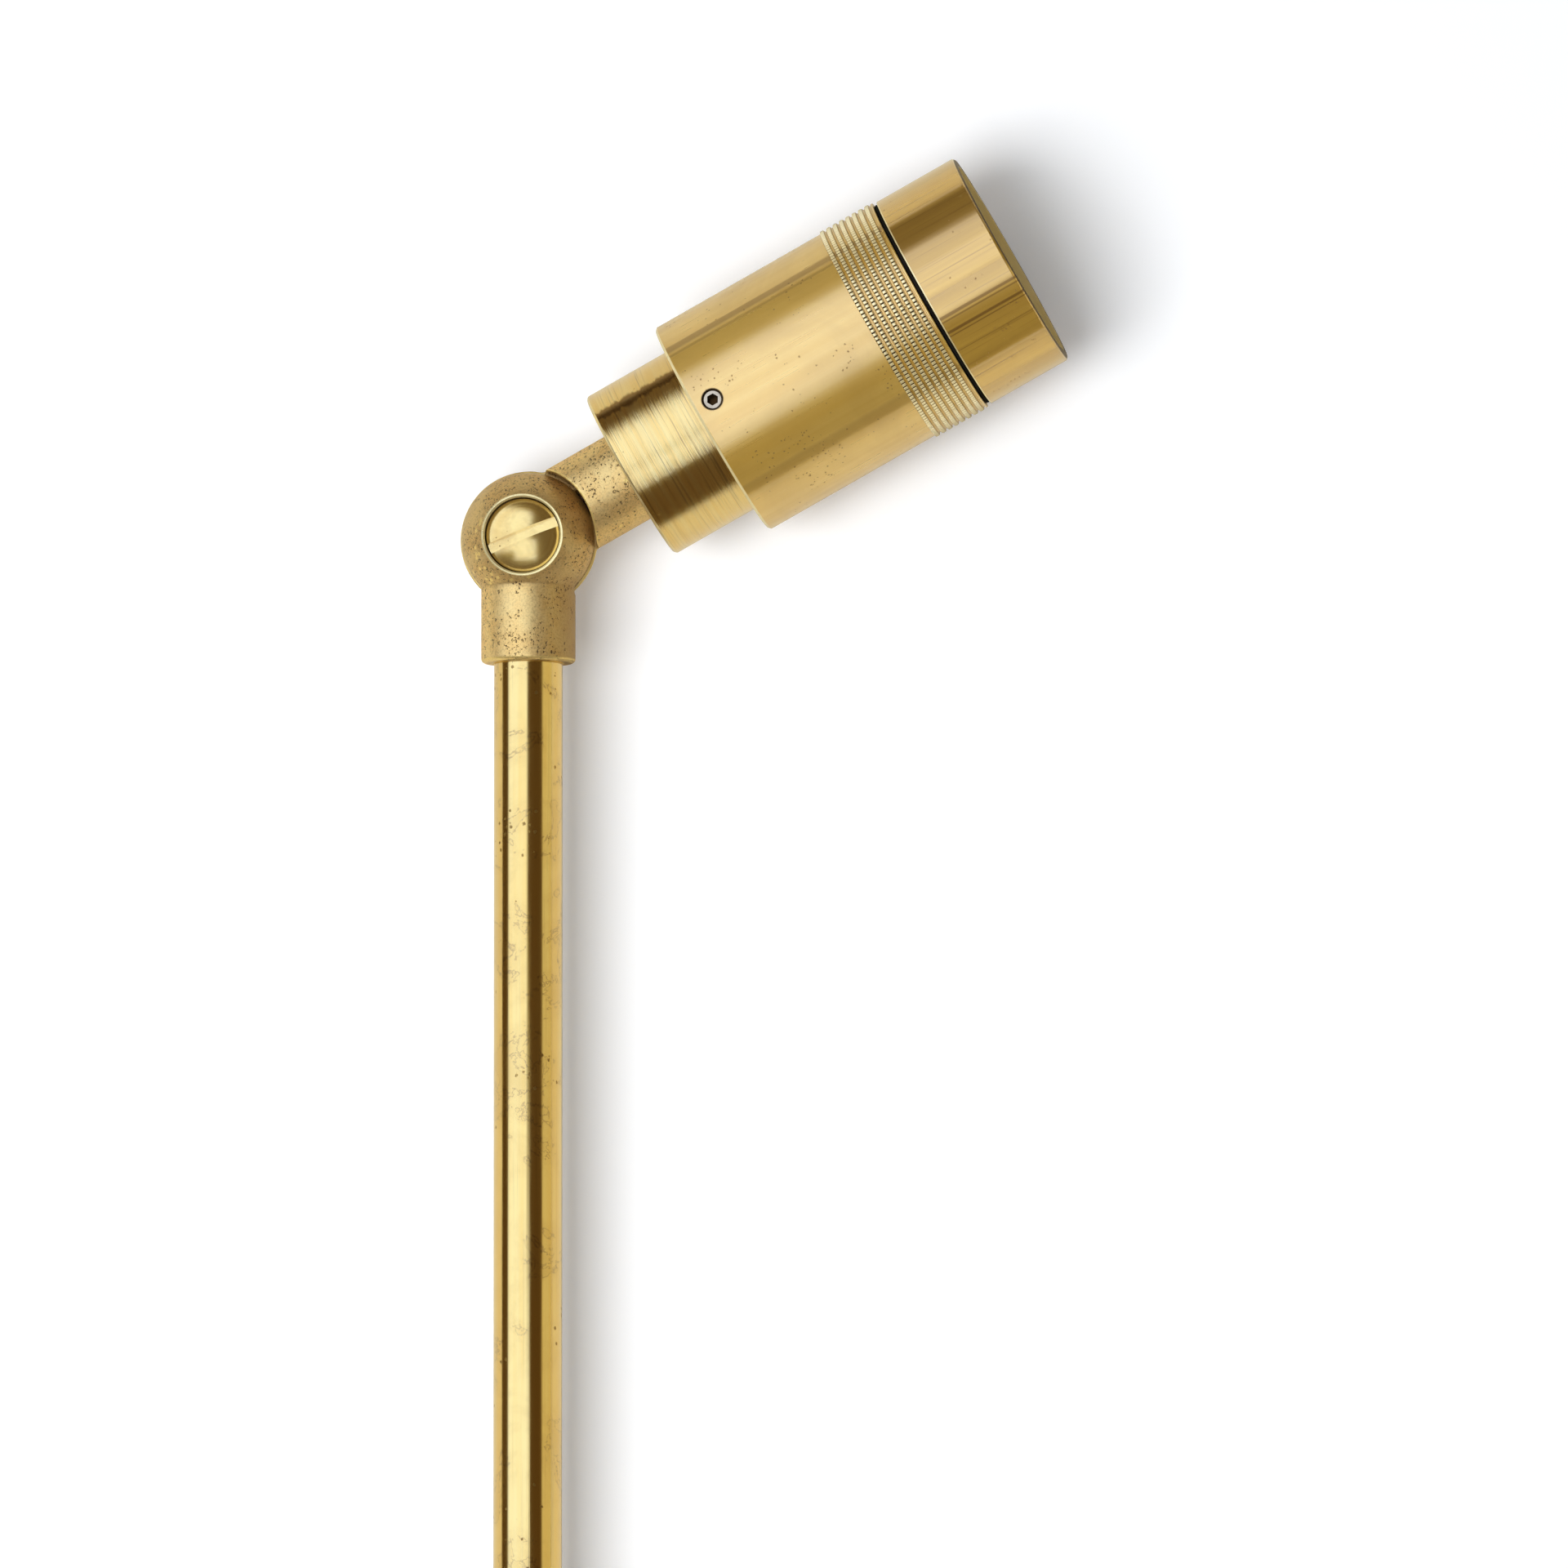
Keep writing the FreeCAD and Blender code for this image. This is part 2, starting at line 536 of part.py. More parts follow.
def make_knuckle_arm(frame):
    """Cast arm with the rear half of the ball, relieved in front round the lower knuckle's ball."""
    hinge = ("axis_offset", "0", "0")
    ball = sphere("rear_ball", REAR_BALL, hinge, "Y")
    shank = cylinder("arm_shank", "arm_diameter / 2", "arm_length")
    spigot = cylinder("arm_spigot", "spigot_thread / 2", "arm_length + spigot_length")
    reach = f"(2 * {REAR_BALL})"
    front = ("axis_offset", f"{HALF_SPLIT} - {reach}", "0")
    tools = [
        cylinder("arm_relief", ARM_RELIEF, reach, front, "Y"),
        cylinder("arm_wire_bore", "wire_bore / 2", "arm_length + spigot_length",
                 ("0", "0", "chamber_inner / 2 + 1")),
        cylinder("rear_screw_hole", SCREW_HOLE, reach, hinge, "Y"),
        hexagon("nut_pocket", "nut_flats + 4 * fit_gap", reach, ("axis_offset", NUT_SEAT, "0"), "Y"),
    ]
    chamber = ring_chamber("rear_chamber", HALF_SPLIT)
    chamber.setExpression("Placement.Base.x", formula("axis_offset"))
    solid = fused("arm_solid", ball, shank, spigot)
    finish("knuckle_arm", cut("arm_cast", solid, *tools, chamber), frame)


def make_knuckle_nut(frame):
    """Hex nut in its pocket in the rear half of the ball."""
    seat = ("axis_offset", NUT_SEAT, "0")
    bar = hexagon("nut_bar", "nut_flats", "nut_height", seat, "Y")
    hole = cylinder("nut_thread", SCREW_HOLE, "nut_height", seat, "Y")
    finish("knuckle_nut", cut("nut_drilled", bar, hole), frame)


# ---------------------------------------------------------------- neck and sleeve


def make_neck_seal(frame):
    finish("neck_seal_ring", ring("seal_turned", "seal_inner / 2", "seal_outer / 2",
                                  "arm_length", "arm_length + seal_depth"), frame)


def make_neck_housing(frame):
    """Turned cup behind the sleeve, with the flange that the sleeve slides over."""
    hole = "spigot_thread / 2 + fit_gap"
    neck = "neck_diameter / 2"
    flange = f"{SLEEVE_INSIDE} - turning_gap"
    groove_floor = f"{SLEEVE_INSIDE} - sleeve_ring_size * 0.7"
    groove_rear = f"{FLANGE_REAR} + sleeve_ring_seat"
    body = turned("neck_turned", [
        (hole, "arm_length"),
        (f"{neck} - rim_chamfer", "arm_length"),
        (neck, "arm_length + rim_chamfer"),
        (neck, FLANGE_REAR),
        (flange, FLANGE_REAR),
        (flange, groove_rear),
        (groove_floor, groove_rear),
        (groove_floor, f"{groove_rear} + sleeve_ring_size"),
        (flange, f"{groove_rear} + sleeve_ring_size"),
        (flange, FLANGE_FRONT),
        ("neck_bore / 2", FLANGE_FRONT),
        ("neck_bore / 2", NECK_INSIDE),
        (hole, NECK_INSIDE),
    ])
    seat = ring("seal_seat", "seal_inner / 2", "seal_outer / 2", "arm_length - 1", "arm_length + seal_depth")
    finish("neck_housing", cut("neck_drilled", body, seat, grub_holes("neck_grub")), frame)


def grub_angles():
    return [f"(grub_turn + {turn})" for turn in (0, 120, 240)]


def grub_holes(name):
    """Three radial holes for the grub screws, from the screws' inner ends outwards."""
    inner_end = f"({SLEEVE_RADIUS} - grub_seat - grub_length)"
    holes = [lie_radially(cylinder(f"{name}_hole_{number}", "grub_diameter / 2", "2 * grub_length"),
                          inner_end, f"{SLEEVE_REAR} + grub_setback", angle)
             for number, angle in enumerate(grub_angles(), start=1)]
    return fused(f"{name}_holes", *holes)


def make_grub_screws(frame):
    """Hex-socket grub screws through the sleeve's rear end into the neck's flange."""
    inner_end = f"({SLEEVE_RADIUS} - grub_seat - grub_length)"
    screws = []
    for number, angle in enumerate(grub_angles(), start=1):
        bar = cylinder(f"grub_bar_{number}", "grub_diameter / 2 - fit_gap", "grub_length")
        socket = hexagon(f"grub_socket_{number}", "grub_socket_flats", "grub_socket_depth",
                         ("0", "0", "grub_length - grub_socket_depth"))
        screw = cut(f"grub_screw_{number}", bar, socket)
        screws.append(lie_radially(screw, inner_end, f"{SLEEVE_REAR} + grub_setback", angle))
    finish("sleeve_grub_screws", fused("grub_screw_set", *screws), frame)


def make_sleeve_ring(frame):
    """O-ring in the groove of the neck's flange, drawn as it lies when squeezed flat."""
    low = f"{FLANGE_REAR} + sleeve_ring_seat"
    finish("sleeve_o_ring", ring("sleeve_ring_turned", f"{SLEEVE_INSIDE} - sleeve_ring_size * 0.7",
                                 SLEEVE_INSIDE, low, f"{low} + sleeve_ring_size"), frame)


def make_main_sleeve(frame):
    """The barrel, with the ridges of the grip band turned on its front end."""
    band_rear = f"({SLEEVE_FRONT} - knurl_length)"
    crest = f"({SLEEVE_RADIUS} + knurl_rise)"
    body = turned("sleeve_turned", [
        (SLEEVE_INSIDE, SLEEVE_REAR),
        (f"{SLEEVE_RADIUS} - rim_chamfer", SLEEVE_REAR),
        (SLEEVE_RADIUS, f"{SLEEVE_REAR} + rim_chamfer"),
        (SLEEVE_RADIUS, band_rear),
        (crest, band_rear),
        (crest, f"{SLEEVE_FRONT} - knurl_rise"),
        (SLEEVE_RADIUS, SLEEVE_FRONT),
        (SLEEVE_INSIDE, SLEEVE_FRONT),
    ])
    first = f"({band_rear} + knurl_pitch - knurl_groove)"
    notch = outline(body, "knurl_notch", [
        (f"{crest} + knurl_rise", first),
        (f"{SLEEVE_RADIUS} - knurl_rise / 4", f"{first} + knurl_groove / 2"),
        (f"{crest} + knurl_rise", f"{first} + knurl_groove"),
    ])
    groove = body.newObject("PartDesign::Groove", "knurl_first_groove")
    groove.Profile = notch
    groove.ReferenceAxis = (notch, ["V_Axis"])
    groove.Angle = 360
    grooves = body.newObject("PartDesign::LinearPattern", "knurl_grooves")
    grooves.Originals = [groove]
    grooves.Direction = (notch, ["V_Axis"])
    bind(grooves, Length="knurl_pitch * (knurl_ridges - 1)", Occurrences="knurl_ridges")
    body.Tip = grooves
    finish("main_sleeve", cut("sleeve_drilled", body, grub_holes("sleeve_grub")), frame)


def make_lock_nut(frame):
    """Thin hex nut on the arm's spigot, clamping bracket and neck housing."""
    seat = ("0", "0", f"{NECK_INSIDE} + bracket_sheet")
    bar = hexagon("lock_nut_bar", "lock_nut_flats", "lock_nut_height", seat)
    hole = cylinder("lock_nut_thread", "spigot_thread / 2 + fit_gap", "lock_nut_height", seat)
    finish("arm_lock_nut", cut("lock_nut_drilled", bar, hole), frame)


# ---------------------------------------------------------------- lampholder and lamp


def make_bracket(frame):
    """Sheet saddle: a floor under the lock nut, two legs, and feet that the lampholder sits on."""
    leg_inside = "(bracket_span / 2 - bracket_sheet)"
    floor_top = f"{NECK_INSIDE} + bracket_sheet"
    across = centred("bracket_width")
    floor = block("bracket_floor", [centred("bracket_span"), across, (NECK_INSIDE, floor_top)])
    rise = (NECK_INSIDE, HOLDER_REAR)
    legs = [block("bracket_leg_near", [("-bracket_span / 2", f"-{leg_inside}"), across, rise]),
            block("bracket_leg_far", [(leg_inside, "bracket_span / 2"), across, rise])]
    top = (f"{HOLDER_REAR} - bracket_sheet", HOLDER_REAR)
    foot_end = "(bracket_span / 2 - bracket_foot)"
    feet = [block("bracket_foot_near", [("-bracket_span / 2", f"-{foot_end}"), across, top]),
            block("bracket_foot_far", [(foot_end, "bracket_span / 2"), across, top])]
    hole = cylinder("bracket_hole", "spigot_thread / 2 + fit_gap", "neck_floor", ("0", "0", NECK_INSIDE))
    threads = holder_screw_holes("bracket_thread")
    bent = fused("bracket_bent", floor, *legs, *feet)
    finish("lampholder_bracket", cut("bracket_drilled", bent, hole, *threads), frame)


def holder_screw_holes(name):
    """Two holes through the lampholder's ears and the bracket's feet."""
    low = f"{HOLDER_REAR} - 2 * bracket_sheet"

    def hole(hole_name, offset):
        return cylinder(hole_name, "holder_screw_diameter / 2 + fit_gap", "ear_height + 4 * bracket_sheet",
                        (offset, "0", low))

    return mirrored_pair(hole, name, "holder_screw_spacing / 2")


def make_lampholder(frame):
    """Ceramic two-pin lampholder with an ear at each side."""
    core = block("holder_core", [centred("holder_width"), centred("holder_depth"),
                                 (HOLDER_REAR, HOLDER_FRONT)])
    ears = block("holder_ears", [centred("ear_span"), centred("ear_depth"),
                                 (HOLDER_REAR, f"{HOLDER_REAR} + ear_height")])

    def socket(name, offset):
        return cylinder(name, "contact_diameter / 2", "holder_height", (offset, "0", f"{HOLDER_REAR} + 1"))

    sockets = mirrored_pair(socket, "pin_socket", "pin_spacing / 2")
    screw_holes = holder_screw_holes("ear_hole")
    solid = fused("holder_solid", core, ears)
    finish("lampholder", cut("holder_drilled", solid, *sockets, *screw_holes), frame)


def make_contacts(frame):
    """Spring contacts: a thin split tube in each socket of the lampholder."""
    low = f"{HOLDER_REAR} + 1"

    def contact(name, offset):
        start = (offset, "0", low)
        length = "holder_height - 2"
        tube = cylinder(f"{name}_tube", "contact_diameter / 2 - fit_gap", length, start)
        hole = cylinder(f"{name}_hole", "contact_diameter / 2 - contact_wall + fit_gap", length, start)
        split = block(f"{name}_split", [(f"{offset} - contact_wall / 2", f"{offset} + contact_wall / 2"),
                                        ("0", "contact_diameter"), (low, f"{low} + {length}")])
        return cut(name, tube, hole, split)

    pair = mirrored_pair(contact, "contact", "pin_spacing / 2")
    finish("lampholder_contacts", fused("contact_pair", *pair), frame)


def make_holder_screws(frame):
    """Two small pan-head screws that hold the lampholder's ears on the bracket."""
    seat = f"({HOLDER_REAR} + ear_height)"

    def screw(name, offset):
        shank = cylinder(f"{name}_shank", "holder_screw_diameter / 2", "holder_screw_length",
                         (offset, "0", f"{seat} - holder_screw_length"))
        head = cylinder(f"{name}_head", "holder_screw_head / 2", "holder_screw_head_height",
                        (offset, "0", seat))
        slot = block(f"{name}_slot", [
            (f"{offset} - holder_screw_head", f"{offset} + holder_screw_head"),
            centred("holder_screw_slot"),
            (f"{seat} + holder_screw_head_height / 2", f"{seat} + holder_screw_head"),
        ])
        return cut(name, fused(f"{name}_solid", shank, head), slot)

    pair = mirrored_pair(screw, "holder_screw", "holder_screw_spacing / 2")
    finish("lampholder_screws", fused("holder_screw_pair", *pair), frame)


def make_head_leads(frame):
    """Two insulated wires from the ball's wire chamber to the back of the lampholder."""
    start = "(chamber_inner / 2 + 1.8)"

    def lead(name, offset):
        return cylinder(name, "lead_diameter / 2", f"{HOLDER_REAR} - {start}", (offset, "lead_set", start))

    pair = mirrored_pair(lead, "head_lead", "lead_spread")
    finish("head_leads", fused("head_lead_pair", *pair), frame)


def bowl(name, shrink):
    """Ellipsoid of the reflector's curve, smaller by the given wall."""
    radius = f"lamp_diameter / 2 - ({shrink})"
    depth = f"lamp_depth - ({shrink})"
    return primitive("Part::Ellipsoid", name, ("0", "0", LAMP_SHOULDER), "Z",
                     {"Radius1": depth, "Radius2": radius, "Radius3": radius})


def make_lamp_reflector(frame):
    """Reflector lamp's glass bowl: an ellipsoid shell cut flat at the throat, with a straight rim."""
    wide = centred("2 * lamp_diameter")
    shell = cut("reflector_shell", bowl("reflector_outside", "0"), bowl("reflector_inside", "lamp_skin"),
                block("reflector_front", [wide, wide, (LAMP_SHOULDER, f"{LAMP_SHOULDER} + 2 * lamp_depth")]),
                block("reflector_rear", [wide, wide, (f"{LAMP_SHOULDER} - 2 * lamp_depth", LAMP_THROAT)]))
    seat = f"{LAMP_FRONT} - cover_thickness"
    rim = turned("reflector_rim", [
        ("lamp_diameter / 2 - lamp_skin", LAMP_SHOULDER),
        ("lamp_diameter / 2", LAMP_SHOULDER),
        ("lamp_diameter / 2", LAMP_FRONT),
        ("lamp_diameter / 2 - lamp_skin / 2", LAMP_FRONT),
        ("lamp_diameter / 2 - lamp_skin / 2", seat),
        ("lamp_diameter / 2 - lamp_skin", seat),
    ])
    finish("lamp_reflector", fused("reflector_solid", shell, rim), frame)


def make_lamp_base(frame):
    """Ceramic base with the cement plug that closes the reflector's throat."""
    base = block("base_block", [centred("lamp_base_width"), centred("lamp_base_depth"),
                                (LAMP_BASE, LAMP_THROAT)])
    plug = cylinder("base_plug", "lamp_plug / 2", "lamp_throat + lamp_plug_height", ("0", "0", LAMP_BASE))
    finish("lamp_base", fused("base_solid", base, plug), frame)


def make_lamp_pins(frame):
    def pin(name, offset):
        return cylinder(name, "lamp_pin_diameter / 2", "lamp_pin_length", (offset, "0", LAMP_PIN_END))

    pair = mirrored_pair(pin, "lamp_pin", "pin_spacing / 2")
    finish("lamp_pins", fused("lamp_pin_pair", *pair), frame)


def make_lamp_capsule(frame):
    """Glass capsule: a hollow finger with a round end, closed at its foot."""
    def finger(name, shrink, low):
        radius = f"capsule_diameter / 2 - ({shrink})"
        stem = cylinder(f"{name}_stem", radius, f"{CAPSULE_DOME} - ({low})", ("0", "0", low))
        return fused(name, stem, sphere(f"{name}_dome", radius, ("0", "0", CAPSULE_DOME)))

    outside = finger("capsule_outside", "0", CAPSULE_REAR)
    inside = finger("capsule_inside", "capsule_wall", f"{CAPSULE_REAR} + 3 * capsule_wall")
    finish("lamp_capsule", cut("capsule_hollow", outside, inside), frame)


def make_filament(frame):
    """Filament coil inside the capsule, as the plain rod that it fills."""
    coil = cylinder("filament_rod", "filament_diameter / 2", "filament_length",
                    ("0", "0", f"{CAPSULE_DOME} - filament_length"))
    support = cylinder("filament_support", "filament_diameter / 4",
                       f"{CAPSULE_DOME} - filament_length - {CAPSULE_REAR} - 3 * capsule_wall",
                       ("0", "0", f"{CAPSULE_REAR} + 3 * capsule_wall"))
    finish("lamp_filament", fused("filament_solid", coil, support), frame)


def make_cover_glass(frame):
    finish("lamp_cover_glass", disc("cover_turned", "lamp_diameter / 2 - lamp_skin / 2 - fit_gap",
                                    f"{LAMP_FRONT} - cover_thickness", LAMP_FRONT), frame)


def make_cushion_ring(frame):
    """Soft ring that the bezel's spigot presses the lamp with."""
    finish("lamp_cushion_ring", ring("cushion_turned", "cushion_bore / 2", "lamp_diameter / 2",
                                     LAMP_FRONT, f"{SPIGOT_REAR} - turning_gap"), frame)


# ---------------------------------------------------------------- bezel


def make_front_bezel(frame):
    """Screwed ring with the hood in front of the glass and the threaded spigot behind."""
    bore = "bezel_bore / 2"
    hood = "hood_bore / 2"
    spigot = f"{SLEEVE_INSIDE} - turning_gap"
    body = turned("bezel_turned", [
        (bore, SPIGOT_REAR),
        (f"{spigot} - rim_chamfer", SPIGOT_REAR),
        (spigot, f"{SPIGOT_REAR} + rim_chamfer"),
        (spigot, BEZEL_REAR),
        (SLEEVE_RADIUS, BEZEL_REAR),
        (SLEEVE_RADIUS, f"{BEZEL_FRONT} - rim_chamfer"),
        (f"{SLEEVE_RADIUS} - rim_chamfer", BEZEL_FRONT),
        (hood, BEZEL_FRONT),
        (hood, LIP_FRONT),
        ("lip_bore / 2", LIP_FRONT),
        ("lip_bore / 2", LIP_REAR),
        (bore, LIP_REAR),
    ])
    finish("front_bezel", body, frame)


def make_bezel_ring(frame):
    """O-ring that fills the gap between sleeve and bezel."""
    wire = "(bezel_gap / 2 - fit_gap)"
    loop = torus("bezel_ring_torus", f"{SLEEVE_INSIDE} + {wire}", wire,
                 ("0", "0", f"{SLEEVE_FRONT} + bezel_gap / 2"))
    finish("bezel_o_ring", seated("bezel_ring_seated", loop), frame)


def make_glass_gasket(frame):
    finish("glass_gasket", ring("gasket_turned", "lip_bore / 2", "glass_diameter / 2",
                                GLASS_FRONT, LIP_REAR), frame)


def make_front_glass(frame):
    finish("front_glass", disc("glass_turned", "glass_diameter / 2", GLASS_REAR, GLASS_FRONT), frame)


def make_retaining_ring(frame):
    """Threaded ring behind the glass, with two notches for a key."""
    low = f"{GLASS_REAR} - ring_thickness"
    body = ring("retaining_turned", "lip_bore / 2", "bezel_bore / 2 - turning_gap", low, GLASS_REAR)
    notch = block("retaining_notch", [centred("2 * bezel_bore"), centred("ring_notch"),
                                      (f"{low} - 1", f"{low} + ring_thickness / 2")])
    finish("glass_retaining_ring", cut("retaining_notched", body, notch), frame)


# ---------------------------------------------------------------- build, check, write

POLE_PIECES = [make_ground_spike, make_spike_pin, make_pole_tube, make_cable_grommet, make_pole_leads]
HINGE_PIECES = [make_lower_knuckle, make_friction_washer, make_spring_washer, make_knuckle_screw]
HEAD_PIECES = [
    make_knuckle_arm, make_knuckle_nut, make_neck_seal, make_neck_housing, make_grub_screws, make_sleeve_ring,
    make_main_sleeve, make_lock_nut, make_bracket, make_lampholder, make_contacts, make_holder_screws,
    make_head_leads, make_lamp_reflector, make_lamp_base, make_lamp_pins, make_lamp_capsule, make_filament,
    make_cover_glass, make_cushion_ring, make_front_bezel, make_bezel_ring, make_glass_gasket,
    make_front_glass, make_retaining_ring,
]


def build():
    make_sheet()
    pole = make_frame("pole_frame", ("0", "0", "0"), "0; 0; 1", "0")
    hinge = make_frame("hinge_frame", ("0", "0", "hinge_height"), "0; 0; 1", "0")
    head_base = ("-axis_offset * sin(head_elevation)", "0", "hinge_height + axis_offset * cos(head_elevation)")
    head = make_frame("head_frame", head_base, "0; 1; 0", "90 - head_elevation")
    for frame, makers in ((pole, POLE_PIECES), (hinge, HINGE_PIECES), (head, HEAD_PIECES)):
        for make in makers:
            make(frame)
    doc.recompute()


def check():
    """Stop unless every object built and every piece is a sound solid."""
    failed = [item.Label for item in doc.Objects if "Invalid" in item.State or "Error" in item.State]
    if failed:
        raise RuntimeError(f"not built: {failed}")
    unsound = [piece.Label for piece in pieces
               if piece.Shape.isNull() or not piece.Shape.isValid() or not piece.Shape.Solids]
    if unsound:
        raise RuntimeError(f"not sound: {unsound}")


def write():
    os.makedirs("parts", exist_ok=True)
    for piece in pieces:
        piece.Shape.exportStep(f"parts/{piece.Label}.step")
        print(f"{piece.Label}: {len(piece.Shape.Solids)} solids, {piece.Shape.Volume:.1f} mm3")


build()
check()
write()
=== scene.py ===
"""Looks of the garden spike spotlight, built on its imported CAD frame.

Sizes are in millimetres and become metres as each piece is finished. The pole stands on the Z axis.
The head is drawn along its own Z axis and turned into its place: "height" there runs along the barrel.
"""

import json
import math

import bmesh
import bpy
from mathutils import Matrix, Vector


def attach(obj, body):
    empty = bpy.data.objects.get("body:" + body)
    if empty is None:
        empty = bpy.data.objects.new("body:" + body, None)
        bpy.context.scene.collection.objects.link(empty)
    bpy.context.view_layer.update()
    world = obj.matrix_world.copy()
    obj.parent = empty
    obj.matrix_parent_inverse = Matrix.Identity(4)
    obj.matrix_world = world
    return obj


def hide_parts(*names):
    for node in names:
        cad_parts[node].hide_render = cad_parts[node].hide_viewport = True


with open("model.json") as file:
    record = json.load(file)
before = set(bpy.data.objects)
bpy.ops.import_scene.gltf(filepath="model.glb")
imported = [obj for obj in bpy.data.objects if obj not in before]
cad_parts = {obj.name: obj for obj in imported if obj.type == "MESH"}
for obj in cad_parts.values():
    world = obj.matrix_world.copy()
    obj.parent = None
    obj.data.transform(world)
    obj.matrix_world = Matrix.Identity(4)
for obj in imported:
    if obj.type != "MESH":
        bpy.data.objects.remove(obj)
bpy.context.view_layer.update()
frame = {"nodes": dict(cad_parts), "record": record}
record = frame["record"]

# ---------------------------------------------------------------- sizes and places

MM = 0.001
ROUND_STEPS = 3
SHARP_ANGLE = math.radians(32)
WIDE_SEGMENTS = 192
SMALL_SEGMENTS = 96

HINGE_HEIGHT = 320
HEAD_ELEVATION = math.radians(29.2)
AXIS_OFFSET = 1.1
CHAMFER = 0.6

TUBE_RADIUS = 8
TUBE_BORE = 6.8
TUBE_BOTTOM = 8
TUBE_TOP = 301.8
INLET_HEIGHT = 45
INLET_RADIUS = 4.5
PIN_HEIGHT = 20
PIN_RADIUS = 2

NECK_REAR = 28.1
NECK_RADIUS = 21
NECK_BORE = 18.5
NECK_FLOOR = 3
FLANGE_REAR = 50.3
FLANGE_FRONT = 62.9
FLANGE_RADIUS = 25.45
FLANGE_GROOVE_REAR = 58.3
FLANGE_GROOVE_FRONT = 60.7
FLANGE_GROOVE_RADIUS = 23.82
THREAD_HOLE = 8.02
SEAL_INNER = 8.95
SEAL_OUTER = 10.45
SEAL_DEPTH = 1.2

SLEEVE_REAR = 50
SLEEVE_FRONT = 108.6
SLEEVE_RADIUS = 27
SLEEVE_BORE = 25.5
GRUB_HEIGHT = 54.85
GRUB_RADIUS = 2.5
GRUB_INNER_END = 21.5
GRUB_OUTER_END = 26.5
GRUB_DRILL_END = 31.5
GRUB_POINT = 0.7
GRUB_EDGE = 0.4
GRUB_SOCKET_FLATS = 2.5
GRUB_SOCKET_DEPTH = 2.5
SOCKET_DARK_EDGE = (1.35, 1.5)
GRUB_SEGMENTS = 48
GRUB_TURNS = [math.radians(4.8 + turn) for turn in (0, 120, 240)]

BAND_REAR = 94.5
RIDGES = 8
RIDGE_PITCH = 1.7
RIDGE_WIDTH = 1.2
RIDGE_FLOOR = 26.9
RIDGE_SHOULDER = 27.12
RIDGE_CREST = 27.48
RIDGE_SLOPE = 0.12
CROWN_RADIUS = RIDGE_CREST - 0.16
BAND_FRONT = BAND_REAR + RIDGES * RIDGE_PITCH
TEETH = 170
TOOTH_SHIFT = 0.37
TOOTH_SHARE = 0.84
TOOTH_TOP = (1, 0.74, 0.7)
TOOTH_ROUNDING = 0.2

BEZEL_REAR = 109.6
BEZEL_FRONT = 130.4
SPIGOT_REAR = 100.6
SPIGOT_RADIUS = 25.45
BEZEL_BORE = 23.3
HOOD_BORE = 24.6
LIP_BORE = 21.8
LIP_FRONT = 118.7
LIP_REAR = 117.2

LAMP_FRONT = 98.2
LAMP_SHOULDER = 94.7
LAMP_THROAT = 64.3
LAMP_DEPTH = 33
LAMP_RADIUS = 25
LAMP_SKIN = 1.2
COVER_THICKNESS = 1.5
FACET_RINGS = 13
FACETS_ROUND = 36

BALL_RADIUS = 15.6
SCREW_SEAT = 8.42
SCREW_PEAK = 12.92
SCREW_END = 13.8
SCREW_RADIUS = 4
SCREW_HEAD_RADIUS = 8.5
SCREW_DOME = 2.0
DOME_STEPS = 14
SLOT_WIDTH = 2.4
SLOT_FLOOR = 10.45
SLOT_TURN = math.radians(22)
SEAT_RADIUS = 8.85
SEAT_MOUTH = 12.1
SEAT_RIM = 9.55
SEAT_SLOPE = 0.33
SEAT_DEPTH = 5
SEAT_SKIN = 0.1
SCREW_EDGE = 0.12
CASTING_GRAIN = 0.3

SHANK_RADIUS = 7
SHANK_LENGTH = 82
POINT_LENGTH = 62
TIP_RADIUS = 1
SPIGOT_TOP = 32

head_up = Vector((-math.sin(HEAD_ELEVATION), 0, math.cos(HEAD_ELEVATION)))
hinge = Vector((0, 0, HINGE_HEIGHT))
head_base = hinge + AXIS_OFFSET * head_up

POLE_PLACE = Matrix.Identity(4)
HEAD_TURN = math.pi / 2 - HEAD_ELEVATION
HEAD_PLACE = Matrix.Translation(head_base) @ Matrix.Rotation(HEAD_TURN, 4, "Y")
SCREW_PLACE = Matrix.Translation(hinge) @ Matrix.Rotation(math.pi / 2, 4, "X")

BODY_OF = {node: body for body, nodes in record["behaviour"]["bodies"].items() for node in nodes}

# ---------------------------------------------------------------- making pieces


def mark_sharp_edges(bm):
    """Shade hard over every edge that turns by the sharp angle or more."""
    for edge in bm.edges:
        edge.smooth = edge.calc_face_angle(0) < SHARP_ANGLE


def new_object(name, bm, place):
    """The bmesh as an object at the origin, in metres, smooth but for its sharp edges."""
    bmesh.ops.transform(bm, matrix=Matrix.Scale(MM, 4) @ place, verts=bm.verts)
    for face in bm.faces:
        face.smooth = True
    mark_sharp_edges(bm)
    mesh = bpy.data.meshes.new(name)
    bm.to_mesh(mesh)
    bm.free()
    piece = bpy.data.objects.new(name, mesh)
    bpy.context.scene.collection.objects.link(piece)
    return piece


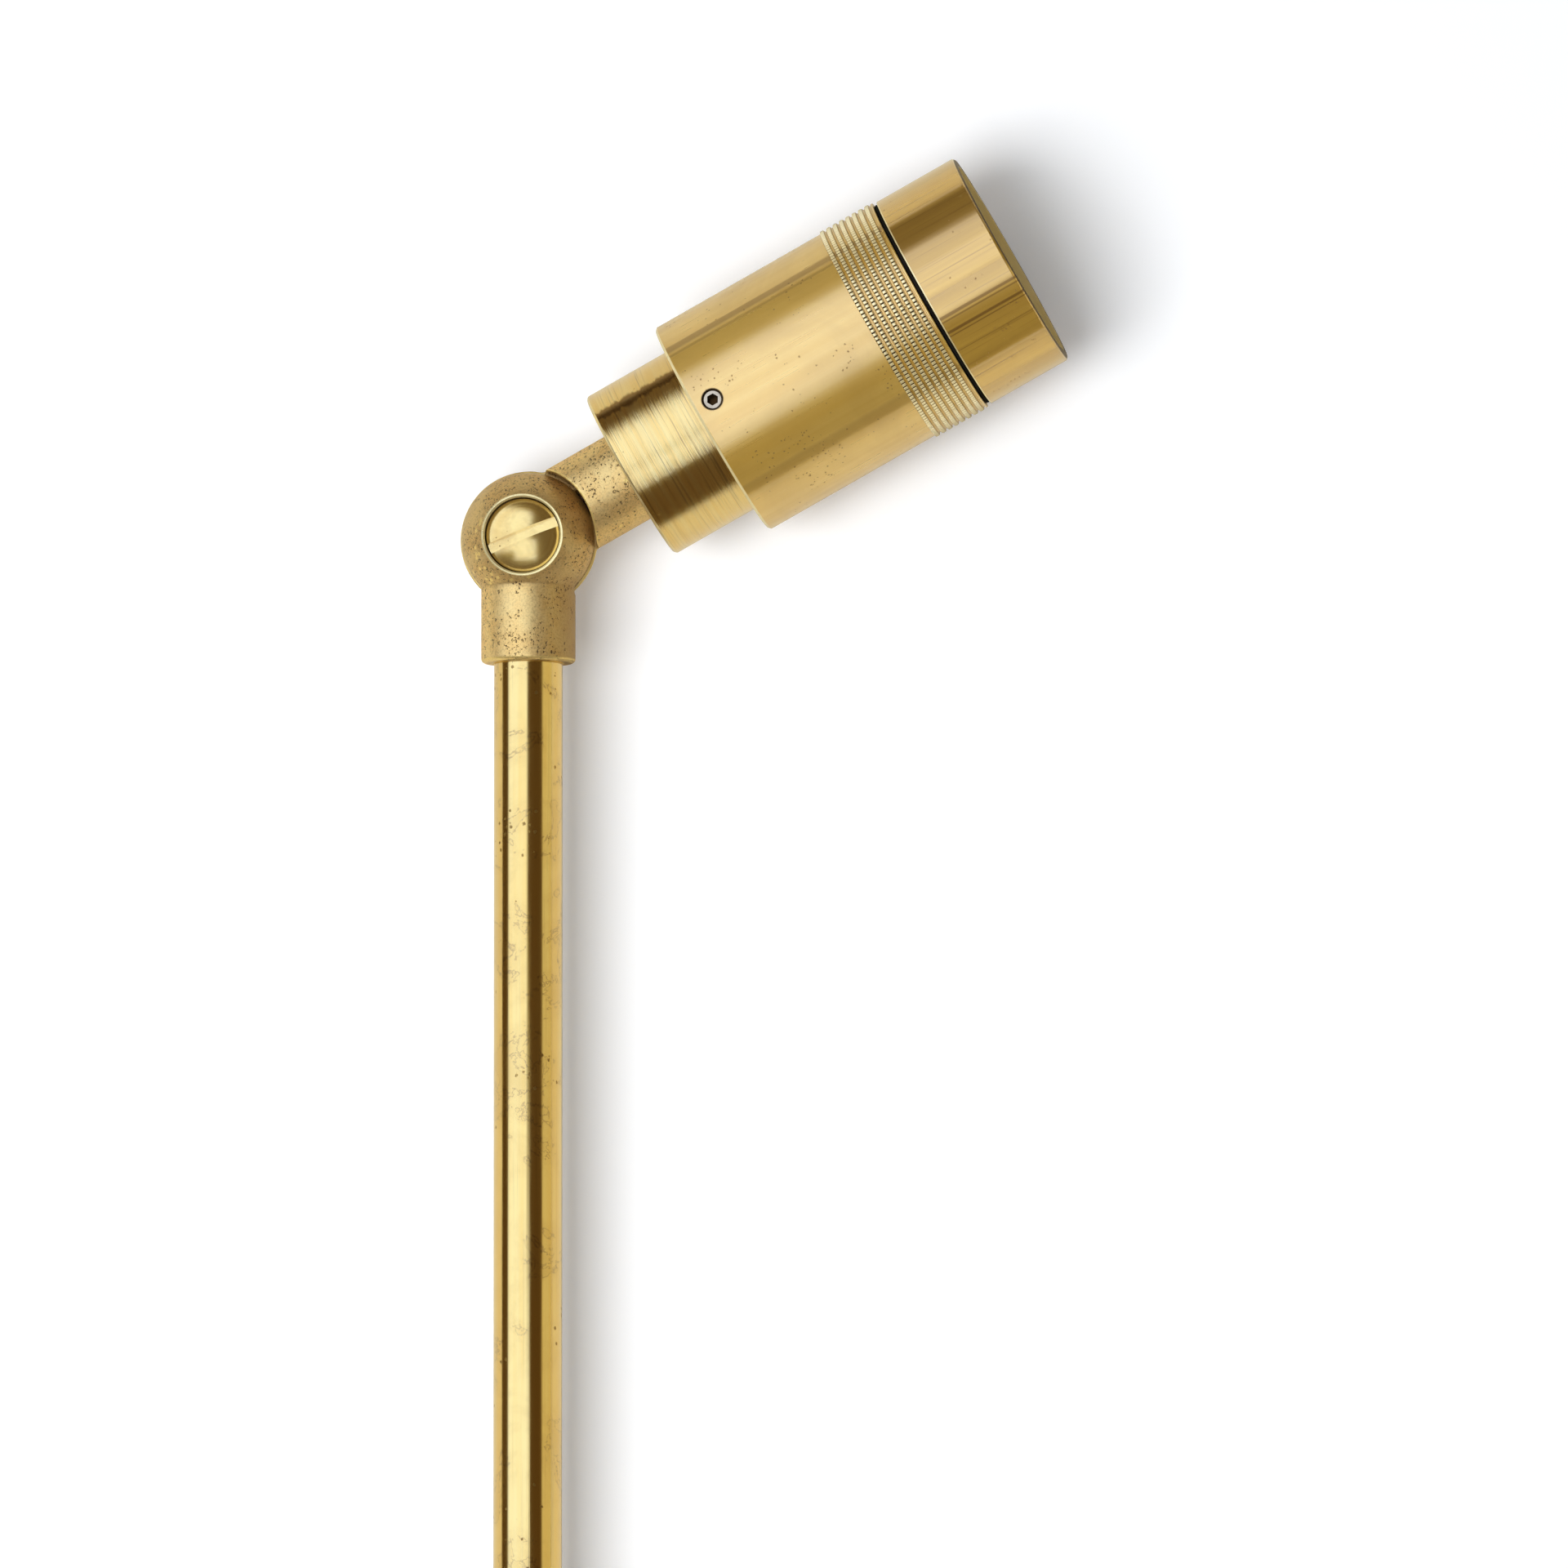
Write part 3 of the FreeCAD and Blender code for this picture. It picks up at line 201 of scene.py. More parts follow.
def turned_mesh(corners, segments):
    """A solid of revolution about Z. Each corner is (height, radius, rounding)."""
    bm = bmesh.new()
    verts = [bm.verts.new((radius, 0, height)) for height, radius, _ in corners]
    touches_axis = any(radius == 0 for _, radius, _ in corners)
    ends = verts[1:] if touches_axis else verts[1:] + verts[:1]
    for start, end in zip(verts, ends):
        bm.edges.new((start, end))
    for rounding in sorted({corner[2] for corner in corners if corner[2] > 0}):
        picked = [vert for vert, corner in zip(verts, corners) if corner[2] == rounding]
        bmesh.ops.bevel(bm, geom=picked, offset=rounding, offset_type="OFFSET", segments=ROUND_STEPS,
                        profile=0.5, affect="VERTICES", material=-1)
    bmesh.ops.spin(bm, geom=bm.verts[:] + bm.edges[:], cent=(0, 0, 0), axis=(0, 0, 1),
                   angle=2 * math.pi, steps=segments, use_merge=True)
    bmesh.ops.remove_doubles(bm, verts=bm.verts, dist=1e-5)
    bmesh.ops.recalc_face_normals(bm, faces=bm.faces)
    return bm


def turned(name, corners, segments, place):
    """A turned piece in its place, from the corners of its outline."""
    return new_object(name, turned_mesh(corners, segments), place)


def rod_mesh(radius, low, high, segments=SMALL_SEGMENTS):
    """A plain rod along Z, used to drill with."""
    bm = bmesh.new()
    bmesh.ops.create_cone(bm, cap_ends=True, segments=segments, radius1=radius, radius2=radius,
                          depth=high - low, matrix=Matrix.Translation((0, 0, (low + high) / 2)))
    return bm


def block_mesh(width, depth, height, middle, turn):
    """A block turned about Z and moved to its middle, used to cut slots with."""
    bm = bmesh.new()
    bmesh.ops.create_cube(bm, size=1.0)
    bmesh.ops.scale(bm, vec=(width, depth, height), verts=bm.verts)
    bmesh.ops.rotate(bm, cent=(0, 0, 0), matrix=Matrix.Rotation(turn, 3, "Z"), verts=bm.verts)
    bmesh.ops.translate(bm, vec=middle, verts=bm.verts)
    return bm


def settle(piece):
    """Work the piece's modifiers into its mesh."""
    shape = bpy.data.meshes.new_from_object(piece.evaluated_get(bpy.context.evaluated_depsgraph_get()))
    piece.modifiers.clear()
    piece.data = shape


def carve(piece, cutters):
    """Cut the cutters out of the piece, and remove them."""
    for cutter in cutters:
        cut = piece.modifiers.new("cut", "BOOLEAN")
        cut.operation = "DIFFERENCE"
        cut.solver = "EXACT"
        cut.object = cutter
    settle(piece)
    for cutter in cutters:
        bpy.data.objects.remove(cutter)
    bm = bmesh.new()
    bm.from_mesh(piece.data)
    mark_sharp_edges(bm)
    bm.to_mesh(piece.data)
    bm.free()


def join(piece, extras):
    """Take the extra objects' meshes into the piece's mesh, and remove them."""
    joined = bmesh.new()
    joined.from_mesh(piece.data)
    for extra in extras:
        joined.from_mesh(extra.data)
    joined.to_mesh(piece.data)
    joined.free()
    for extra in extras:
        bpy.data.objects.remove(extra)


def break_edges(piece, width):
    """A small rounding on every sharp edge, as a deburring tool leaves it."""
    broken = piece.modifiers.new("broken edges", "BEVEL")
    broken.width = width * MM
    broken.segments = 2
    broken.limit_method = "ANGLE"
    broken.angle_limit = SHARP_ANGLE


def even_shading(piece):
    """Flat faces keep flat shading next to their small roundings."""
    weighted = piece.modifiers.new("even shading", "WEIGHTED_NORMAL")
    weighted.keep_sharp = True
    weighted.weight = 90


def stand_for(piece, node, slot, finish=None):
    """The piece takes the place of a CAD node, with its body, and this finish or else the slot's own."""
    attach(piece, BODY_OF[node])
    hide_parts(node)
    piece.data.materials.clear()
    piece.data.materials.append(finishes[finish or slot])
    return piece


def radial_place(height, turn):
    """On the barrel, Z pointing outwards from its axis, starting from the side that faces -Y."""
    return (HEAD_PLACE @ Matrix.Translation((0, 0, height)) @ Matrix.Rotation(-turn, 4, "Z")
            @ Matrix.Rotation(math.pi / 2, 4, "X"))


def grub_drills():
    """Cutters for the grub screws' holes, through neck and sleeve."""
    return [new_object("drill", rod_mesh(GRUB_RADIUS, GRUB_INNER_END - 1, GRUB_DRILL_END),
                       radial_place(GRUB_HEIGHT, turn)) for turn in GRUB_TURNS]


def pin_drill():
    """Cutter for the hole of the pin that holds the spike in the tube."""
    across = Matrix.Translation((0, 0, PIN_HEIGHT)) @ Matrix.Rotation(math.pi / 2, 4, "X")
    return new_object("drill", rod_mesh(PIN_RADIUS, -2 * TUBE_RADIUS, 2 * TUBE_RADIUS), across)


# ---------------------------------------------------------------- node wiring


class Wiring:
    """Short ways to add and link nodes in one tree."""

    def __init__(self, tree):
        self.tree = tree

    def node(self, kind, **settings):
        made = self.tree.nodes.new(kind)
        for name, value in settings.items():
            setattr(made, name, value)
        return made

    def feed(self, socket, value):
        """A socket takes a link from another socket, or a plain value."""
        if isinstance(value, bpy.types.NodeSocket):
            self.tree.links.new(value, socket)
        else:
            socket.default_value = value

    def fill(self, node, **inputs):
        """Feed the node's inputs by name, where _ stands for a space."""
        for name, value in inputs.items():
            self.feed(node.inputs[name.replace("_", " ")], value)

    def calculate(self, operation, first, second=0.0, clamp=False):
        made = self.node("ShaderNodeMath", operation=operation, use_clamp=clamp)
        self.feed(made.inputs[0], first)
        self.feed(made.inputs[1], second)
        return made.outputs[0]

    def plus(self, first, second):
        return self.calculate("ADD", first, second)

    def minus(self, first, second):
        return self.calculate("SUBTRACT", first, second)

    def times(self, first, second):
        return self.calculate("MULTIPLY", first, second)

    def larger(self, first, second):
        return self.calculate("MAXIMUM", first, second)

    def split(self, vector):
        """The vector's X, Y and Z."""
        made = self.node("ShaderNodeSeparateXYZ")
        self.feed(made.inputs[0], vector)
        return made.outputs

    def stretch(self, vector, scale):
        made = self.node("ShaderNodeMapping")
        self.fill(made, Vector=vector, Scale=scale)
        return made.outputs["Vector"]

    def noise(self, vector, scale, detail=3.0, roughness=0.55, distortion=0.0):
        made = self.node("ShaderNodeTexNoise")
        self.fill(made, Vector=vector, Scale=scale, Detail=detail, Roughness=roughness, Distortion=distortion)
        return made.outputs["Fac"]

    def ragged(self, vector, scale, reach):
        """The vector, pushed about by a noise, so that what follows it gets a ragged outline."""
        push = self.node("ShaderNodeTexNoise")
        self.fill(push, Vector=vector, Scale=scale)
        centred = self.node("ShaderNodeVectorMath", operation="SUBTRACT")
        self.feed(centred.inputs[0], push.outputs["Color"])
        centred.inputs[1].default_value = (0.5, 0.5, 0.5)
        moved = self.node("ShaderNodeVectorMath", operation="MULTIPLY_ADD")
        self.feed(moved.inputs[0], centred.outputs["Vector"])
        moved.inputs[1].default_value = (reach, reach, reach)
        self.feed(moved.inputs[2], vector)
        return moved.outputs["Vector"]

    def cells(self, vector, scale):
        """Distance to the nearest of scattered points, and a random value for each point."""
        made = self.node("ShaderNodeTexVoronoi")
        self.fill(made, Vector=vector, Scale=scale)
        split = self.node("ShaderNodeSeparateColor")
        self.fill(split, Color=made.outputs["Color"])
        return made.outputs["Distance"], split.outputs["Red"]

    def span(self, value, low, high, first=0.0, last=1.0):
        """The value from low to high, spread smoothly from first to last."""
        made = self.node("ShaderNodeMapRange", interpolation_type="SMOOTHSTEP")
        self.fill(made, Value=value, From_Min=low, From_Max=high, To_Min=first, To_Max=last)
        return made.outputs["Result"]

    def within(self, value, low, high, edge=0.05):
        """1 between low and high, 0 outside."""
        above = self.span(value, low - edge, low)
        below = self.span(value, high, high + edge, 1.0, 0.0)
        return self.times(above, below)

    def blend(self, share, first, second):
        made = self.node("ShaderNodeMix", data_type="RGBA")
        self.feed(made.inputs[0], share)
        self.feed(made.inputs[6], first)
        self.feed(made.inputs[7], second)
        return made.outputs[2]

    def bump(self, height, distance, strength=1.0):
        made = self.node("ShaderNodeBump")
        self.fill(made, Height=height, Distance=distance, Strength=strength)
        return made.outputs["Normal"]

    def use(self, group, **inputs):
        """The outputs of a node group, filled with these inputs."""
        made = self.node("ShaderNodeGroup", node_tree=group)
        self.fill(made, **inputs)
        return made.outputs


VECTOR = "NodeSocketVector"
FLOAT = "NodeSocketFloat"


def new_group(name, inputs, outputs):
    """An empty shader node group with named sockets. Returns its wiring, its inputs and its output node."""
    group = bpy.data.node_groups.new(name, "ShaderNodeTree")
    for label, kind, value in inputs:
        socket = group.interface.new_socket(label, in_out="INPUT", socket_type=kind)
        if value is not None:
            socket.default_value = value
    for label in outputs:
        group.interface.new_socket(label, in_out="OUTPUT", socket_type=FLOAT)
    wiring = Wiring(group)
    return wiring, wiring.node("NodeGroupInput").outputs, wiring.node("NodeGroupOutput").inputs


def make_casting_group():
    """Skin of a sand casting: fine grain, and ragged pits that gather in patches."""
    wiring, given, made = new_group(
        "casting skin",
        [("Vector", VECTOR, None), ("Grain", FLOAT, 2200.0), ("Pit Size", FLOAT, 1400.0),
         ("Patch", FLOAT, 120.0), ("More Pits", FLOAT, 0.0)],
        ["Grain Height", "Pits", "Clouds"])
    vector = given["Vector"]
    grain = wiring.noise(vector, given["Grain"], 4.0, 0.6)
    ragged = wiring.ragged(vector, given["Grain"], 0.0017)
    distance, chance = wiring.cells(ragged, given["Pit Size"])
    clouds = wiring.noise(vector, given["Patch"], 4.0, 0.6, 0.6)
    gathered = wiring.span(wiring.plus(clouds, given["More Pits"]), 0.44, 0.66, 0.93, 0.3)
    present = wiring.span(wiring.minus(chance, gathered), 0.0, 0.05)
    dip = wiring.span(distance, 0.22, 0.46, 1.0, 0.0)
    wiring.feed(made["Grain Height"], grain)
    wiring.feed(made["Pits"], wiring.times(dip, present))
    wiring.feed(made["Clouds"], wiring.span(clouds, 0.35, 0.68))
    return wiring.tree


def make_tarnish_group():
    """Soft clouds, tide marks along their outlines, and small ragged spots that gather in patches."""
    wiring, given, made = new_group(
        "tarnish",
        [("Vector", VECTOR, None), ("Cloud Scale", FLOAT, 40.0), ("Spot Scale", FLOAT, 900.0),
         ("Spot Share", FLOAT, 0.3)],
        ["Clouds", "Tide Marks", "Spots"])
    vector = given["Vector"]
    clouds = wiring.noise(vector, given["Cloud Scale"], 6.0, 0.62, 0.5)
    outline = wiring.calculate("ABSOLUTE", wiring.minus(clouds, 0.57))
    ragged = wiring.ragged(vector, wiring.times(given["Spot Scale"], 2.5), 0.0005)
    distance, chance = wiring.cells(ragged, given["Spot Scale"])
    patches = wiring.noise(vector, wiring.times(given["Spot Scale"], 0.09), 3.0, 0.6)
    share = wiring.times(wiring.span(patches, 0.48, 0.66), given["Spot Share"])
    chosen = wiring.span(wiring.plus(chance, share), 0.99, 1.2)
    reach = wiring.span(chosen, 0.0, 1.0, 0.0, 0.36)
    wiring.feed(made["Clouds"], wiring.span(clouds, 0.38, 0.66))
    wiring.feed(made["Tide Marks"], wiring.span(outline, 0.0, 0.012, 1.0, 0.0))
    wiring.feed(made["Spots"], wiring.span(wiring.minus(reach, distance), 0.0, 0.12))
    return wiring.tree


def make_marks_group(name, fine, broad):
    """Long marks. Fine and broad are each (stretch, detail, roughness) of a noise."""
    wiring, given, made = new_group(name, [("Vector", VECTOR, None)], ["Fine", "Broad"])
    for output, (stretch, detail, roughness) in (("Fine", fine), ("Broad", broad)):
        drawn_out = wiring.stretch(given["Vector"], stretch)
        wiring.feed(made[output], wiring.noise(drawn_out, 1.0, detail, roughness))
    return wiring.tree


def make_scratch_group():
    """A few hair scratches, each a thin outline in a twisted noise, broken up by another noise."""
    wiring, given, made = new_group(
        "hair scratches",
        [("Vector", VECTOR, None), ("Scale", FLOAT, 90.0), ("Amount", FLOAT, 0.5)],
        ["Scratches"])
    lines = wiring.noise(given["Vector"], given["Scale"], 1.0, 0.4, 0.8)
    thin = wiring.span(wiring.calculate("ABSOLUTE", wiring.minus(lines, 0.5)), 0.0, 0.0035, 1.0, 0.0)
    breaks = wiring.noise(given["Vector"], wiring.times(given["Scale"], 1.7), 2.0, 0.5)
    kept = wiring.span(breaks, wiring.minus(0.72, wiring.times(given["Amount"], 0.2)), 0.74)
    wiring.feed(made["Scratches"], wiring.times(thin, kept))
    return wiring.tree


def make_wear_and_highlight_group():
    """Masks of bright edges and darker hollows, from how the fine mesh curves. The bright edges stand for
    rubbing and are also a painted highlight along rim edges and seams.
    """
    wiring, given, made = new_group(
        "edge wear",
        [("Edge", FLOAT, 0.02)],
        ["Edges", "Hollows"])
    curve = wiring.node("ShaderNodeNewGeometry").outputs["Pointiness"]
    above = wiring.minus(curve, 0.5)
    below = wiring.minus(0.5, curve)
    slight = wiring.times(given["Edge"], 0.4)
    wiring.feed(made["Edges"], wiring.span(above, slight, given["Edge"]))
    wiring.feed(made["Hollows"], wiring.span(below, slight, given["Edge"]))
    return wiring.tree


CASTING = make_casting_group()
TARNISH = make_tarnish_group()
# Turning and brushing run round the Z axis. Drawing a tube and wiping a barrel run along it.
LATHE = make_marks_group("lathe marks", ((30, 30, 3300), 4.0, 0.7), ((14, 14, 900), 3.0, 0.6))
STREAK = make_marks_group("long streaks", ((1600, 1600, 16), 3.0, 0.65), ((260, 260, 7), 3.0, 0.6))
SCRATCH = make_scratch_group()
WEAR_AND_HIGHLIGHT = make_wear_and_highlight_group()


def placed(wiring, place):
    """Object coordinates, turned and moved to the given place."""
    mapping = wiring.node("ShaderNodeMapping", vector_type="TEXTURE")
    wiring.fill(mapping, Vector=wiring.node("ShaderNodeTexCoord").outputs["Object"],
                Location=MM * place.to_translation(), Rotation=place.to_euler())
    return mapping.outputs["Vector"]


def new_finish(name, place=POLE_PLACE):
    """A material, its wiring, its main shader, and the object's coordinates at the given place."""
    finish = bpy.data.materials.new(name)
    finish.use_nodes = True
    wiring = Wiring(finish.node_tree)
    shader = finish.node_tree.nodes["Principled BSDF"]
    return finish, wiring, shader, placed(wiring, place)


def radius_and_height(wiring, vector):
    """How far from the Z axis of the vector, and how far along it, in millimetres."""
    parts = wiring.split(vector)
    squares = [wiring.calculate("POWER", parts[axis], 2.0) for axis in "XY"]
    radius = wiring.calculate("SQRT", wiring.plus(*squares))
    return wiring.calculate("DIVIDE", radius, MM), wiring.calculate("DIVIDE", parts["Z"], MM)


def angle_round(wiring, vector):
    """Degrees round the Z axis of the vector, from the side that faces -Y and growing towards +X."""
    parts = wiring.split(vector)
    turn = wiring.calculate("ARCTAN2", parts["X"], wiring.times(parts["Y"], -1.0))
    return wiring.calculate("DEGREES", turn)


def colour(red, green, blue):
    return (red, green, blue, 1.0)


BRASS_LIGHT = colour(0.96, 0.74, 0.26)
BRASS = colour(0.94, 0.64, 0.15)
BRASS_GOLD = colour(0.86, 0.54, 0.09)
BRASS_DEEP = colour(0.66, 0.40, 0.07)
BRASS_BROWN = colour(0.24, 0.12, 0.03)
# Pale brass for machined and rubbed edges, also used as a painted highlight and as painted light inside the
# hood.
BRIGHT_RIM_AND_HIGHLIGHT = colour(1.0, 0.86, 0.45)
CAST_BRIGHT = colour(1.0, 0.76, 0.33)
CAST_BROWN = colour(0.96, 0.66, 0.25)
# Near black: the casting's pits, and the painted shade and painted dark reflection on the sleeve and bezel.
GRIME_AND_SHADE = colour(0.04, 0.022, 0.008)

BRASS_IOR = 1.9

# Where the castings change, each over a stretch of X or Z in metres: the pits crowd on the rained-on side and
# top, and the collar takes painted shade on its side towards +X.
RAIN_SIDE = (-14 * MM, -5 * MM)
RAIN_TOP = (328 * MM, 336 * MM)
SHADE_SIDE = (1 * MM, 11 * MM)
SHADE_COLLAR = (308 * MM, 316 * MM)
SHADE_END = (322 * MM, 328 * MM)


def cast_brass():
    """Sand-cast brass, dulled brown, pitted, rubbed bright on its edges with a painted highlight there too,
    and machined round the screw.

    The pits crowd where rain stands. The collar's side towards +X is painted darker, as painted shade where
    little light falls, and the ball is a little darker all over.
    """
    finish, wiring, shader, vector = new_finish("cast_brass")
    parts = wiring.split(vector)
    rained_on = wiring.larger(wiring.span(parts["X"], *RAIN_SIDE, 0.16, 0.0),
                              wiring.span(parts["Z"], *RAIN_TOP, 0.0, 0.12))
    skin = wiring.use(CASTING, Vector=vector, More_Pits=rained_on)
    wear_and_highlight = wiring.use(WEAR_AND_HIGHLIGHT, Edge=0.027)
    from_hinge = placed(wiring, SCREW_PLACE)
    radius, height = radius_and_height(wiring, from_hinge)
    machined = wiring.times(wiring.span(radius, SEAT_RIM + 0.02, SEAT_RIM + 0.08, 1.0, 0.0),
                            wiring.span(height, SEAT_MOUTH - 3, SEAT_MOUTH - 2))
    distance = wiring.node("ShaderNodeVectorMath", operation="LENGTH")
    wiring.feed(distance.inputs[0], from_hinge)
    on_ball = wiring.span(distance.outputs["Value"], BALL_RADIUS * MM, 1.06 * BALL_RADIUS * MM, 0.3, 0.0)
    # Painted shade on the collar's side away from the lamp, joined with the ball's darker tone.
    shaded = wiring.times(wiring.span(parts["X"], *SHADE_SIDE, 0.0, 0.7),
                          wiring.span(parts["Z"], *SHADE_COLLAR, 1.0, 0.25))
    shaded = wiring.times(shaded, wiring.span(parts["Z"], *SHADE_END, 1.0, 0.0))
    tone = wiring.blend(skin["Clouds"], CAST_BRIGHT, CAST_BROWN)
    tone = wiring.blend(wiring.span(skin["Grain Height"], 0.3, 0.6, 0.35, 0.0), tone, BRASS_BROWN)
    tone = wiring.blend(wiring.larger(shaded, on_ball), tone, BRASS_BROWN)
    tone = wiring.blend(wiring.times(skin["Pits"], 0.92), tone, GRIME_AND_SHADE)
    tone = wiring.blend(wiring.times(wear_and_highlight["Hollows"], 0.5), tone, BRASS_BROWN)
    # Edges painted pale: rubbing, and a painted highlight at the collar's rim edge and seams.
    tone = wiring.blend(wiring.times(wear_and_highlight["Edges"], 0.8), tone, BRASS_LIGHT)
    tone = wiring.blend(machined, tone, BRIGHT_RIM_AND_HIGHLIGHT)
    dull = wiring.span(skin["Grain Height"], 0.3, 0.7, 0.36, 0.48)
    smooth = wiring.larger(wiring.times(wear_and_highlight["Edges"], 0.4), machined)
    relief = wiring.minus(wiring.times(skin["Grain Height"], 0.4), skin["Pits"])
    relief = wiring.times(relief, wiring.minus(1.0, machined))
    wiring.fill(shader, Base_Color=tone, Metallic=0.7, IOR=BRASS_IOR,
                Roughness=wiring.minus(dull, wiring.times(smooth, 0.2)),
                Normal=wiring.bump(relief, 0.00012, 0.6))
    return finish


def worn_brass(name, place, tones, roughness, marks, marks_height, clouds, spots, spot_scale, metal,
               tide_marks=0.0, cloud_scale=40.0, lines=0.2, scratches=0.5, lacquer=2.0, darkening=None, bright_rims_and_highlights=(),
               tarnish_and_painted_dark_bands=()):
    """Turned or drawn brass: its marks, brown clouds, tide marks, small spots and hair scratches.

    A metal share under 1 is a surface that has gone dull, and so takes on some of the light all over.
    The marks are one of the groups of long marks. The lacquer is gone at spots, at the brown bands and under
    the darkening mask.
    Each rim is (low, high, inner, outer, dulling): a stretch of height and radius painted pale, and how much
    rougher it is. On chamfers and the grip band's crowns this is cut or rubbed bright metal and also a
    painted highlight; inside the bezel's hood it is painted light.
    Each band is (angle, half its width, share): a brown streak along the piece at that place round it,
    measured from the side that faces -Y; it is partly tarnish and partly a painted dark reflection, where the
    barrel mirrors dark surroundings.
    """
    light, deep = tones
    finish, wiring, shader, vector = new_finish(name, place)
    mark = wiring.use(marks, Vector=vector)
    age = wiring.use(TARNISH, Vector=vector, Cloud_Scale=cloud_scale, Spot_Scale=spot_scale, Spot_Share=spots)
    hair = wiring.use(SCRATCH, Vector=vector, Amount=scratches)
    tone = wiring.blend(wiring.span(mark["Broad"], 0.3, 0.7), light, deep)
    tone = wiring.blend(wiring.span(mark["Fine"], 0.3, 0.46, lines, 0.0), tone, BRASS_BROWN)
    tone = wiring.blend(wiring.times(age["Clouds"], clouds), tone, BRASS_DEEP)
    tone = wiring.blend(wiring.times(age["Tide Marks"], tide_marks), tone, BRASS_BROWN)
    tone = wiring.blend(wiring.times(age["Spots"], 0.7), tone, BRASS_BROWN)
    turn = angle_round(wiring, vector)
    bare = wiring.times(age["Spots"], 0.8)
    # Brown bands at set angles round the barrel: partly tarnish, partly painted dark reflection.
    for angle, half_width, share in tarnish_and_painted_dark_bands:
        uneven = wiring.span(mark["Broad"], 0.25, 0.75, 1.4 * half_width, 0.6 * half_width)
        away = wiring.calculate("ABSOLUTE", wiring.minus(turn, angle))
        streak = wiring.span(wiring.calculate("DIVIDE", away, uneven), 0.45, 1.0, share, 0.0)
        tone = wiring.blend(streak, tone, BRASS_BROWN)
        bare = wiring.larger(bare, streak)
    tone = wiring.blend(wiring.times(hair["Scratches"], 0.5), tone, BRASS_LIGHT)
    rough = wiring.span(mark["Fine"], 0.3, 0.7, roughness * 0.85, roughness * 1.15)
    rough = wiring.plus(rough, wiring.times(age["Clouds"], 0.05))
    rough = wiring.plus(rough, wiring.times(age["Spots"], 0.25))
    for low, high, inner, outer, dulling in bright_rims_and_highlights:
        radius, height = radius_and_height(wiring, vector)
        bright = wiring.times(wiring.within(height, low, high), wiring.within(radius, inner, outer))
        # The stretch is painted pale: a painted highlight on chamfers and crowns, painted light inside the
        # hood.
        tone = wiring.blend(bright, tone, BRIGHT_RIM_AND_HIGHLIGHT)
        rough = wiring.plus(rough, wiring.times(bright, dulling))
    # The darkening mask: painted shade on the grip band, a painted dark reflection on the bezel's front.
    if darkening is not None:
        dark_share = darkening(wiring, vector)
        tone = wiring.blend(dark_share, tone, GRIME_AND_SHADE)
        rough = wiring.plus(rough, wiring.times(dark_share, 0.3))
        bare = wiring.larger(bare, dark_share)
    relief = wiring.minus(mark["Fine"], wiring.times(hair["Scratches"], 0.5))
    relief = wiring.minus(relief, wiring.times(age["Spots"], 0.3))
    normal = wiring.bump(relief, marks_height)
    wiring.fill(shader, Base_Color=tone, Metallic=metal, IOR=BRASS_IOR, Roughness=rough, Normal=normal)
    wiring.fill(shader, Coat_Weight=wiring.minus(1.0, bare), Coat_IOR=lacquer,
                Coat_Roughness=roughness * 0.65, Coat_Normal=normal)
    return finish


def band_painted_shade(wiring, vector):
    """Painted shade: black between the grip band's teeth, a little between its ridges, and in the gaps round
    the grub screws, where shade falls in the recesses.
    """
    radius, height = radius_and_height(wiring, vector)
    # Painted shade low between the teeth and ridges.
    low = wiring.span(radius, RIDGE_CREST - 0.3, CROWN_RADIUS, 1.0, 0.0)
    along = wiring.calculate("DIVIDE", wiring.minus(height, BAND_REAR), RIDGE_PITCH)
    on_ridge = wiring.within(wiring.calculate("FRACT", along), 0.06, RIDGE_WIDTH / RIDGE_PITCH - 0.06)
    on_band = wiring.within(height, BAND_REAR, BAND_FRONT)
    dark_share = wiring.times(low, wiring.times(on_band, wiring.span(on_ridge, 0, 1, 0.1, 1)))
    # Painted shade in the gaps round the grub screws.
    for turn in GRUB_TURNS:
        from_hole, outward = radius_and_height(wiring, placed(wiring, radial_place(GRUB_HEIGHT, turn)))
        hole_gap_shade = wiring.times(wiring.span(from_hole, GRUB_RADIUS, GRUB_RADIUS + 0.3, 0.9, 0.0),
                                  wiring.span(outward, 0.0, 1.0))
        dark_share = wiring.larger(dark_share, hole_gap_shade)
    return dark_share


def front_face_painted_reflection(wiring, vector):
    """Painted dark reflection: the flat front of the bezel and half its chamfer are painted dark, as they
    mirror the shaded pale floor beside the head.
    """
    radius, height = radius_and_height(wiring, vector)
    return wiring.times(wiring.span(height, BEZEL_FRONT - 0.35, BEZEL_FRONT - 0.25, 0.0, 0.9),
                        wiring.span(radius, HOOD_BORE + 0.1, HOOD_BORE + 0.2))


def socket_darkening(wiring):
    """The hex sockets of the grub screws, darkened."""
    dark_share = 0.0
    for turn in GRUB_TURNS:
        from_axis, outward = radius_and_height(wiring, placed(wiring, radial_place(GRUB_HEIGHT, turn)))
        in_socket = wiring.times(wiring.span(from_axis, *SOCKET_DARK_EDGE, 1.0, 0.0),
                                 wiring.within(outward, GRUB_INNER_END, GRUB_OUTER_END - 0.3, 0.2))
        dark_share = wiring.larger(dark_share, in_socket)
    return dark_share


